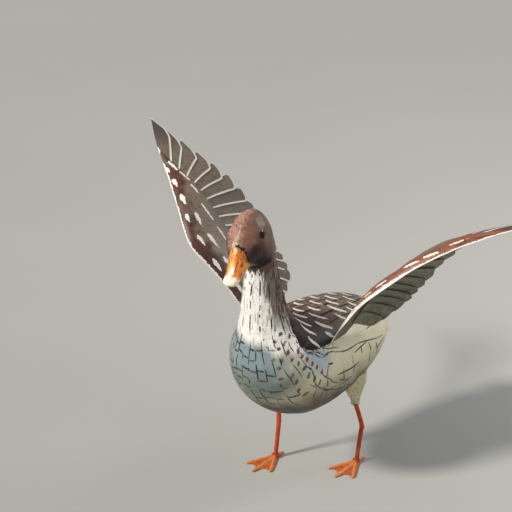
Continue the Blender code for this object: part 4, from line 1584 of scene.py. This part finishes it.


# %% [markdown]
# ### Cream enamel of the hull
#
# White on the neck and warmer cream on the flanks. The breast is a pale duck-egg grey, painted
# darker as shade below the head and neck and towards the belly, and painted as lit cream on the
# goose's left; the low flanks and the underside are painted shade, greenish grey to nearly black.
# Brown from the head runs down over the top of the neck in fingers, and a dark wash lies along
# the nape where the brown strip was blended in, partly brown paint and partly painted shade.

# %% Cream enamel
def cream_enamel():
    """White, cream and blue-grey by height and side, darker low down as painted shade, then the
    dark strokes.
    """
    material, place = new_material("hand-brushed cream enamel")
    split = add(place.id_data, "ShaderNodeSeparateXYZ", {0: place})
    height = split.outputs["Z"]
    tilted = maths("MULTIPLY_ADD", split.outputs["X"], 0.25, height)
    soft_noise = grain(place, 30, 3, stretch=(1, 1, 0.6))
    streak = grain(place, 3.2, 4, stretch=(1, 1, 0.10))
    bristle = grain(place, 1.6, 2)
    clump = grain(place, 5, 3)
    patch = grain(place, 14, 3)
    neck = mask(tilted, 0.354, 0.012, soft_noise, 0.02)
    # painted light and shade: the breast is a pale duck-egg tint painted darker as shade below the
    # head and neck and further down, nearly black under the belly; where "warm" is high it is
    # painted lit cream instead
    belly = mask(height, 0.200, 0.045, soft_noise, 0.04)
    warm = mask(stored(place, "warm"), 70, 34, soft_noise, 26)
    blue = mask(height, 0.292, 0.035, soft_noise, 0.03)
    base = coats("3F4542", [(belly, "6B7670"), (blue, "7E8F93"),
                            (product(warm, belly), "A5A28A"), (product(warm, blue), "C2BFA9")])
    base = coats(base, [(stored(place, "flank"), "E0D7B6"), (neck, "EAE8E2")])
    # painted shade: the hull goes darker and browner towards the belly, more on the goose's left,
    # and nearly black under it; the low flanks are painted darker too
    limits = {"Value": height, "From Min": 0.17, "From Max": 0.27, "To Min": 1.5, "To Max": 0.0}
    belly_shade = add(place.id_data, "ShaderNodeMapRange", limits).outputs[0]
    belly_shade = product(belly_shade, maths("ADD", warm, soft_noise))
    low = product(stored(place, "flank"), lower(height, 0.262, 0.040, soft_noise, 0.02))
    under = lower(height, 0.220, 0.026, soft_noise, 0.016)
    # partly tint, partly painted shade of the wing: blue-grey round each shoulder below the wing's
    # root
    shoulder = lower(stored(place, "shoulder_mm"), 30, 14, soft_noise, 20)
    base = coats(base, [(low, "AFA789"), (shoulder, "B4BEC0"),
                        (product(belly_shade, soft_noise), "6E6342"), (under, "3B3E37")])
    base = worn(place, base, ((60, 0.08), (7, 0.06)))
    brown = stored(place, "brown_mm")
    panel = stored(place, "panel_mm")
    high = mask(height, 0.398, 0.03, soft_noise, 0.03)
    # the wash along the nape is partly brown paint and partly painted shade
    wash = product(mask(panel, -50, 9, streak, 34), high)
    deep_wash = product(mask(panel, -26, 7, streak, 28), high)
    deep_wash = product(deep_wash, mask(streak, 0.45, 0.06))
    stains = product(mask(streak, 0.60, 0.03), mask(height, 0.335, 0.03, soft_noise, 0.03))
    rust = product(mask(panel, -16, 8, clump, 12), mask(clump, 0.60, 0.03))
    knots = product(mask(clump, 0.67, 0.02), mask(height, 0.33, 0.03))
    dash_through = product(mask(stored(place, "dash_mm"), 0.0, 0.35, bristle, 2.4),
                           mask(patch, 0.34, 0.10))
    dab_through = product(mask(stored(place, "dab_mm"), 0.0, 0.5, bristle, 2.4),
                          mask(patch, 0.36, 0.10))
    layers = [
        (product(stains, mask(bristle, 0.45, 0.1)), "9A8F80"),
        (wash, "7A6D63"),
        (deep_wash, "40332F"),
        (knots, "46382F"),
        (product(rust, mask(panel, -15, 4)), "7C4A33"),
        (dash_through, "3D302B"),
        (dab_through, "6E4C3B"),
        (mask(brown, 0.0, 1.2, streak, 22), "5F423A"),
        (mask(stored(place, "patch_mm"), 0.0, 0.4, bristle, 1.6), "3F484D"),
        (mask(stored(place, "seam_mm"), 0.0, 0.3, bristle, 1.1), "2A3033"),
    ]
    return satin(material, place, coats(base, layers), roughness=0.42)


# %% [markdown]
# ### Brown enamel of the back
#
# Mid brown over the middle, nearly black plum low by the shoulders as painted shade from the neck
# and the wings, greyer towards the tail, with the white dashes brushed on last, dry enough to
# break up at their ends.

# %% Brown enamel of the back
def back_enamel():
    """Brown, darker low in front as painted shade and greyer behind, with white dashes."""
    material, place = new_material("hand-brushed brown enamel")
    split = add(place.id_data, "ShaderNodeSeparateXYZ", {0: place})
    height, behind = split.outputs["Z"], split.outputs["Y"]
    soft_noise = grain(place, 40, 3)
    bristle = grain(place, 1.5, 2)
    jag = grain(place, 2.6, 3)
    streak = grain(place, 4, 3, stretch=(1, 0.12, 1))
    # painted shade: nearly black plum low in front, where the neck and the wings shade the back
    low_front = maths("MULTIPLY_ADD", behind, 0.5, height)
    dark = lower(low_front, 0.330, 0.014, soft_noise, 0.02)
    grey = mask(behind, -0.01, 0.07, soft_noise, 0.10)
    base = coats("66483B", [(grey, "766656"), (dark, "211719")])
    base = coats(base, [(mask(streak, 0.60, 0.06), "4C3833"),
                        (mask(bristle, 0.74, 0.04), "7A6254")])
    base = worn(place, base)
    layers = [
        (mask(stored(place, "seam_mm"), 0.0, 0.3, bristle, 0.9), "171214"),
        (mask(stored(place, "white_mm"), 0.0, 0.35, jag, 3.6), "DEDAD2"),
    ]
    return satin(material, place, coats(base, layers), roughness=0.50, bristle=0.35, specular=0.28)


# %% [markdown]
# ### Blended enamel of the head
#
# Pinkish brown over the forehead, painted lighter as light on the head's right side, a pale streak
# where white was dragged up from the bill, partly a painted highlight, greyer brown behind the
# eyes, and plum brown on the cheek, nearly black under it, both painted shade. Round the bill's
# base runs a jagged black line, and a thin orange ring circles each eye.

# %% Head enamel
HIGHLIGHT_ASIDE = 4.0           # mm; the pale streak and the bill's painted highlight run this far to the right of the middle


def head_enamel():
    """Browns by place on the head, painted lighter as light in front and darker as shade low down,
    then the pale streak, the rings and the specks.
    """
    material, place = new_material("blended plum-brown enamel")
    ahead, left, up = stored(place, "ahead_mm"), stored(place, "left_mm"), stored(place, "up_mm")
    wide = maths("ABSOLUTE", left)
    cloud = grain(place, 16, 4)
    speck = grain(place, 1.3, 2)
    dabs = grain(place, 4.5, 3)
    # painted light and shade: the forehead and the head's right side are painted lighter as lit;
    # the cheek and the low parts are painted darker as shade, nearly black under the jaw
    low = lower(up, 31, 10, cloud, 8)
    below_eye = mask(ahead, 5, 11, cloud, 8)
    behind = lower(ahead, -10, 12, cloud, 12)
    forehead = lower(left, 7, 6, cloud, 9)
    cheek = product(mask(wide, 22, 5, cloud, 6),
                    product(mask(ahead, 14, 7, cloud, 8), lower(up, 31, 5)))
    throat_shadow = product(mask(ahead, 17, 7, cloud, 8), lower(up, 3, 8, cloud, 6))
    base = coats("7B5649", [
        (behind, "6E5A48"), (forehead, "A67D6D"),
        (product(mask(dabs, 0.55, 0.08), mask(up, 8, 10)), "7A5044"),
        (lower(up, -2, 10, cloud, 9), "5A3B2E"),
        (product(low, below_eye), "4A312B"),
        (cheek, "37231F"), (throat_shadow, "150F0F")])
    base = worn(place, base, ((12, 0.14), (3, 0.10)))
    # the pale streak and the notch above the bill follow the line of the bill's painted highlight:
    # partly pale paint, partly painted highlight
    beside = maths("ABSOLUTE", maths("ADD", left, HIGHLIGHT_ASIDE))
    streak = product(lower(beside, 4.6, 3.0, dabs, 9),
                     product(mask(ahead, 10, 12, dabs, 14), mask(up, 14, 6)))
    gap = stored(place, "bill_mm")
    notch = product(lower(beside, 6.0, 1.2, speck, 2), lower(gap, 7.0, 1.5, dabs, 6))
    outline = product(lower(gap, 3.4, 0.5, dabs, 5.0), mask(left, -3, 3, dabs, 5))
    ring = lower(stored(place, "eye_mm"), 10.0, 0.7, speck, 1.8)
    layers = [
        (product(streak, mask(speck, 0.50, 0.08)), "B9A89D"),
        (product(notch, mask(dabs, 0.38, 0.04)), "C2B6AC"),
        (ring, "8A4A26"),
        (outline, "120E10"),
        (mask(stored(place, "speck_mm"), 0.0, 0.3, speck, 0.6), "120E10"),
    ]
    colour = coats(base, layers)
    return satin(material, place, colour, roughness=0.36, bristle=0.30, stretch=(0.5, 0.5, 0.5),
                 specular=0.35)


# %% [markdown]
# ### Bill enamel
#
# Orange, with a yellow painted highlight along the ridge and yellow along the rim, red-brown
# streaks in the folds and round the nostril, and a cream nail. It is the glossiest paint on the
# goose.

# %% Bill enamel
def bill_enamel():
    """Orange with a yellow painted highlight on the ridge, a yellow rim, a dark root and a cream
    nail.
    """
    material, place = new_material("gloss orange enamel")
    ahead, left, up = stored(place, "ahead_mm"), stored(place, "left_mm"), stored(place, "up_mm")
    wide = maths("ABSOLUTE", left)
    cloud = grain(place, 9, 3)
    speck = grain(place, 1.2, 2)
    along_bill = grain(place, 2.6, 3, stretch=(1, 0.35, 0.30))
    base = coats("DC7418", [(mask(cloud, 0.5, 0.12), "E68A2A")])
    # painted highlight: the yellow stripe along the ridge
    beside = maths("ABSOLUTE", maths("ADD", left, HIGHLIGHT_ASIDE))
    ridge = product(lower(beside, 5.0, 2.0, along_bill, 5), mask(up, 10, 6))
    rim = mask(wide, 15.5, 1.5, along_bill, 3)
    folds = product(mask(along_bill, 0.56, 0.04), lower(ahead, 80, 8))
    folds = product(folds, mask(wide, 3.5, 2.0))
    root = product(lower(ahead, 47, 4, speck, 12), mask(speck, 0.58, 0.03))
    nail = mask(ahead, 84, 4.0, cloud, 8)
    layers = [
        (ridge, "F2B560"), (rim, "EC9C3C"), (folds, "94380F"),
        (root, "40201A"), (nail, "F3E3C8"),
        (product(lower(stored(place, "head_mm"), 1.6, 0.4, speck, 3.0),
                 mask(left, -3, 3, speck, 3)), "141012"),
    ]
    colour = coats(base, layers)
    return satin(material, place, colour, roughness=0.26, bristle=0.18, stretch=(0.6, 0.6, 0.6),
                 coat=0.5)


def eye_gloss():
    """Black gloss, hard and clean: it gives a small sharp highlight."""
    material, place = new_material("black gloss enamel")
    shader = shader_of(place)
    shader.inputs["Base Color"].default_value = linear("0B0A0B")
    shader.inputs["Roughness"].default_value = 0.10
    shader.inputs["Specular IOR Level"].default_value = 0.30
    return material


# %% [markdown]
# ### Wing enamels
#
# The covert plate goes from red brown at its rolled front to grey brown behind, with a white
# front edge whose inner side is jagged. The feathers are plain grey brown with a white line
# along each free edge. Both are khaki grey below, partly paint and partly painted shade, with
# darker strokes; under each feather a painted shadow runs along the edge that slips under the
# next, and a painted highlight along its free edge near the tip.

# %% Covert enamel
def covert_enamel():
    """Above, red brown to grey brown with white strokes; khaki below, partly painted shade."""
    material, place = new_material("red-brown to grey-brown enamel")
    above = mask(stored(place, "up"), 0.5, 0.02)
    front = stored(place, "front_mm")
    cloud = grain(place, 20, 4)
    jag = grain(place, 3.0, 3)
    fine = grain(place, 3.0, 4, stretch=(1, 0.2, 1))
    red = lower(front, 36, 12, cloud, 30)
    base = coats("776555", [(red, "54302A"),
                            (product(red, mask(cloud, 0.56, 0.06)), "452824")])
    base = coats(base, [(mask(fine, 0.62, 0.05), "5B4A3F")])
    base = worn(place, base)
    rusty = product(stored(place, "rusty"), lower(front, 38, 10, cloud, 24))
    rusty = product(rusty, mask(cloud, 0.38, 0.10))
    base = coats(base, [(rusty, "84503A")])
    white = "E8E4DA"
    comb = grain(place, 2.4, 1, stretch=(1, 0.3, 1))
    top = coats(base, [
        (mask(stored(place, "dash_mm"), 0.0, 0.35, jag, 4.0), white),
        (lower(stored(place, "band_mm"), 4.2, 0.5, comb, 4.5), white)])
    # the underside's khaki is partly paint and partly painted shade
    khaki = worn(place, "625D49")
    below = coats(khaki, [(mask(fine, 0.60, 0.04), "443C2F"),
                          (lower(stored(place, "band_mm"), 1.8, 0.3, jag, 1), white)])
    colour = coats(below, [(above, top)])
    return satin(material, place, colour, roughness=0.45, bristle=0.30, stretch=(0.3, 1, 0.3))


# %% Feather enamel
def feather_enamel():
    """Above, grey brown with white edges; khaki below, partly painted shade, streaked, with
    painted shadows and highlights at the feathers' edges.
    """
    material, place = new_material("grey-brown enamel")
    above = mask(stored(place, "up"), 0.5, 0.02)
    tone = stored(place, "tone")
    bristle = grain(place, 1.6, 2)
    fine = grain(place, 2.6, 4, stretch=(1, 0.16, 1))
    cloud = grain(place, 18, 3)
    front = stored(place, "front_mm")
    brown = coats("68594B", [(tone, "776655")])
    brown = coats(brown, [(mask(fine, 0.60, 0.06), "4F4239"), (mask(cloud, 0.64, 0.06), "75594B"),
                          (lower(front, 24, 8, cloud, 10), "623B33")])
    brown = worn(place, brown)
    edge = mask(stored(place, "edge_mm"), 0.0, 0.35, bristle, 1.6)
    rim = lower(front, 3.6, 0.5, bristle, 4)
    brown = coats(brown, [(product(stored(place, "shade"), mask(cloud, 0.3, 0.2)), "4A3E36")])
    top = coats(brown, [(edge, "DDD8CD"), (rim, "DDD8CD")])
    # the underside's khaki is partly paint and partly painted shade
    khaki = coats("5E5A47", [(tone, "69644F")])
    khaki = coats(khaki, [(mask(fine, 0.60, 0.05), "463D30")])
    streaks = product(mask(fine, 0.53, 0.05), mask(cloud, 0.44, 0.06))
    below = coats(worn(place, khaki), [
        (product(streaks, mask(bristle, 0.42, 0.1)), "8F8870"),
        # painted shadow in the gap where each feather slips under the next
        (product(mask(stored(place, "gap_shadow_mm"), 0.0, 0.4, fine, 3.0),
                 mask(cloud, 0.44, 0.05)), "2F271F"),
        # painted highlight: a pale line along each feather's free edge near its tip
        (product(mask(stored(place, "edge_mm"), 2.2, 0.5, bristle, 1.2),
                 mask(stored(place, "length"), 0.72, 0.10, cloud, 0.3)), "A39B82")])
    colour = coats(below, [(above, top)])
    return satin(material, place, colour, roughness=0.46, bristle=0.30, stretch=(1, 0.25, 1))


# %% Enamels of thighs, legs and feet
def thigh_enamel():
    """Cream with fine umber hatches."""
    material, place = new_material("cream enamel with umber hatching")
    bristle = grain(place, 1.4, 2)
    base = worn(place, "C6BD98")
    hatching = mask(stored(place, "dash_mm"), 0.0, 0.3, bristle, 1.0)
    colour = coats(base, [(hatching, "93825E")])
    return satin(material, place, colour)


def leg_enamel():
    """Red-orange enamel on round bar, chipped to dark steel where feet and frost get at it."""
    material, place = new_material("red-orange enamel")
    cloud = grain(place, 12, 4)
    chip = grain(place, 3.5, 4)
    base = coats("A63B14", [(mask(cloud, 0.5, 0.12), "BE4C1E")])
    colour = coats(worn(place, base), [(mask(chip, 0.68, 0.02), "3A2A22")])
    return satin(material, place, colour, roughness=0.42)


def foot_enamel():
    """Orange enamel, lighter on the toes, darker in patches."""
    material, place = new_material("orange enamel on the feet")
    cloud = grain(place, 10, 4)
    chip = grain(place, 3, 4)
    toe = mask(stored(place, "toe_mm"), 1.2, 1.0)
    base = coats("B8602A", [(mask(cloud, 0.5, 0.10), "A04E22"), (toe, "D67A2E")])
    colour = coats(worn(place, base), [(mask(chip, 0.70, 0.02), "3F2B20")])
    return satin(material, place, colour, roughness=0.42)


def painted_weld(name, colour):
    """Enamel run over a weld bead, with soot and slag left in its hollows."""
    material, place = new_material(name)
    slag = grain(place, 2.2, 3)
    tone = coats(colour, [(mask(slag, 0.56, 0.06), "2A2422")])
    return satin(material, place, tone, roughness=0.5)


# %% Lay each paint on its pieces
def finish_piece(piece, nodes, paint):
    """One paint on one piece, and what the piece stands for."""
    if paint is not None:
        piece.data.materials.append(paint)
    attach(piece, "root")
    if nodes:
        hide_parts(*nodes)


covert_paint, feather_paint = covert_enamel(), feather_enamel()
bill_paint, eye_paint = bill_enamel(), eye_gloss()
thigh_paint, leg_paint, foot_paint = thigh_enamel(), leg_enamel(), foot_enamel()
finish_piece(hull, ("trunk", "neck"), cream_enamel())
finish_piece(panel, ("back",), back_enamel())
finish_piece(head, ("head",), head_enamel())
finish_piece(bill_upper, ("bill_upper",), bill_paint)
finish_piece(bill_lower, ("bill_lower",), bill_paint)
finish_piece(tail, ("tail",), feather_paint)
for side, name in SIDES.items():
    finish_piece(eyes[side], ("eye_" + name,), eye_paint)
    finish_piece(coverts[side], ("wing_" + name,), covert_paint)
    finish_piece(flights[side], ("flight_feathers_" + name,), feather_paint)
    finish_piece(thighs[name], ("thigh_" + name,), thigh_paint)
    finish_piece(rods[name], ("leg_" + name,), leg_paint)
    finish_piece(feet[name], ("foot_" + name,), foot_paint)
print("every piece is painted")

# %% Make the beads
brown_weld = painted_weld("brown enamel over weld", "5C463C")
red_weld = painted_weld("red-orange enamel over weld", "A9441F")
for number, (name, path, width, closed) in enumerate(welds):
    low = name.startswith(("shin", "ankle"))
    weld = bead(weld_tree, "bead_" + name, path, width, BEAD_PACE * width, number,
                red_weld if low else brown_weld, closed)
    finish_piece(weld, (), None)
print("all the beads are laid")

# %% [markdown]
# ## Stage, light and camera
#
# A pale floor, a warm sun with soft edges from the goose's right front, a weak cool fill from its
# left, a rim light from behind and a pale world light. The camera looks from 37 degrees round to
# the goose's left and 21 degrees above level, from far enough away that the wings keep their true
# proportions.

# %% Floor
def pale_floor():
    bpy.ops.mesh.primitive_circle_add(vertices=96, radius=40, fill_type="NGON")
    floor = bpy.context.object
    floor.name = "floor"
    material, place = new_material("pale matt backdrop")
    tone = worn(place, "A9A8A4", ((900, 0.02),))
    shader = shader_of(place)
    place.id_data.links.new(tone, shader.inputs["Base Color"])
    shader.inputs["Roughness"].default_value = 0.9
    floor.data.materials.append(material)


pale_floor()


# %% Lights
GOOSE_MIDDLE = Vector((0, 0, 0.35))


def way_out(azimuth, elevation):
    """Unit vector away from the goose, by degrees round from its front and up from level."""
    turn, lift = radians(azimuth), radians(elevation)
    return Vector((sin(turn) * cos(lift), -cos(turn) * cos(lift), sin(lift)))


def place_at(thing, middle, away, distance):
    """Put a light or camera on a line out from a point, so that it looks back along it."""
    thing.location = middle + away * distance
    thing.rotation_euler = away.to_track_quat("Z", "Y").to_euler()
    bpy.context.scene.collection.objects.link(thing)


def add_light(name, kind, azimuth, elevation, distance, power, colour):
    """A light that shines on the middle of the goose."""
    lamp = bpy.data.lights.new(name, kind)
    lamp.energy = power
    lamp.color = colour
    light = bpy.data.objects.new(name, lamp)
    place_at(light, GOOSE_MIDDLE, way_out(azimuth, elevation), distance)
    return lamp


key = add_light("key", "SUN", -28, 37, 3.0, 3.6, (1.0, 0.95, 0.87))
key.angle = radians(9)
fill = add_light("fill", "AREA", 85, 25, 3.0, 10, (0.86, 0.92, 1.0))
rim = add_light("rim", "AREA", 150, 30, 2.8, 24, (1.0, 0.97, 0.93))
for lamp, size in ((fill, 2.2), (rim, 1.0)):
    lamp.shape = "DISK"
    lamp.size = size
world = bpy.data.worlds.new("pale sky")
world.use_nodes = True
world.node_tree.nodes["Background"].inputs["Color"].default_value = linear("D6DBE0")
world.node_tree.nodes["Background"].inputs["Strength"].default_value = 0.52
bpy.context.scene.world = world
bpy.context.scene.view_settings.view_transform = "Standard"

# %% Camera
AIM = Vector((-0.0942, -0.056, 0.465))
CAMERA_ROUND, CAMERA_UP, CAMERA_AWAY = 37, 21, 2.844


def set_camera():
    """The camera, on its line out from the point it aims at."""
    data = bpy.data.cameras.new("camera")
    data.lens = 100
    data.sensor_width = 36
    camera = bpy.data.objects.new("camera", data)
    place_at(camera, AIM, way_out(CAMERA_ROUND, CAMERA_UP), CAMERA_AWAY)
    bpy.context.scene.camera = camera


set_camera()
print("the camera stands", CAMERA_AWAY, "m away")
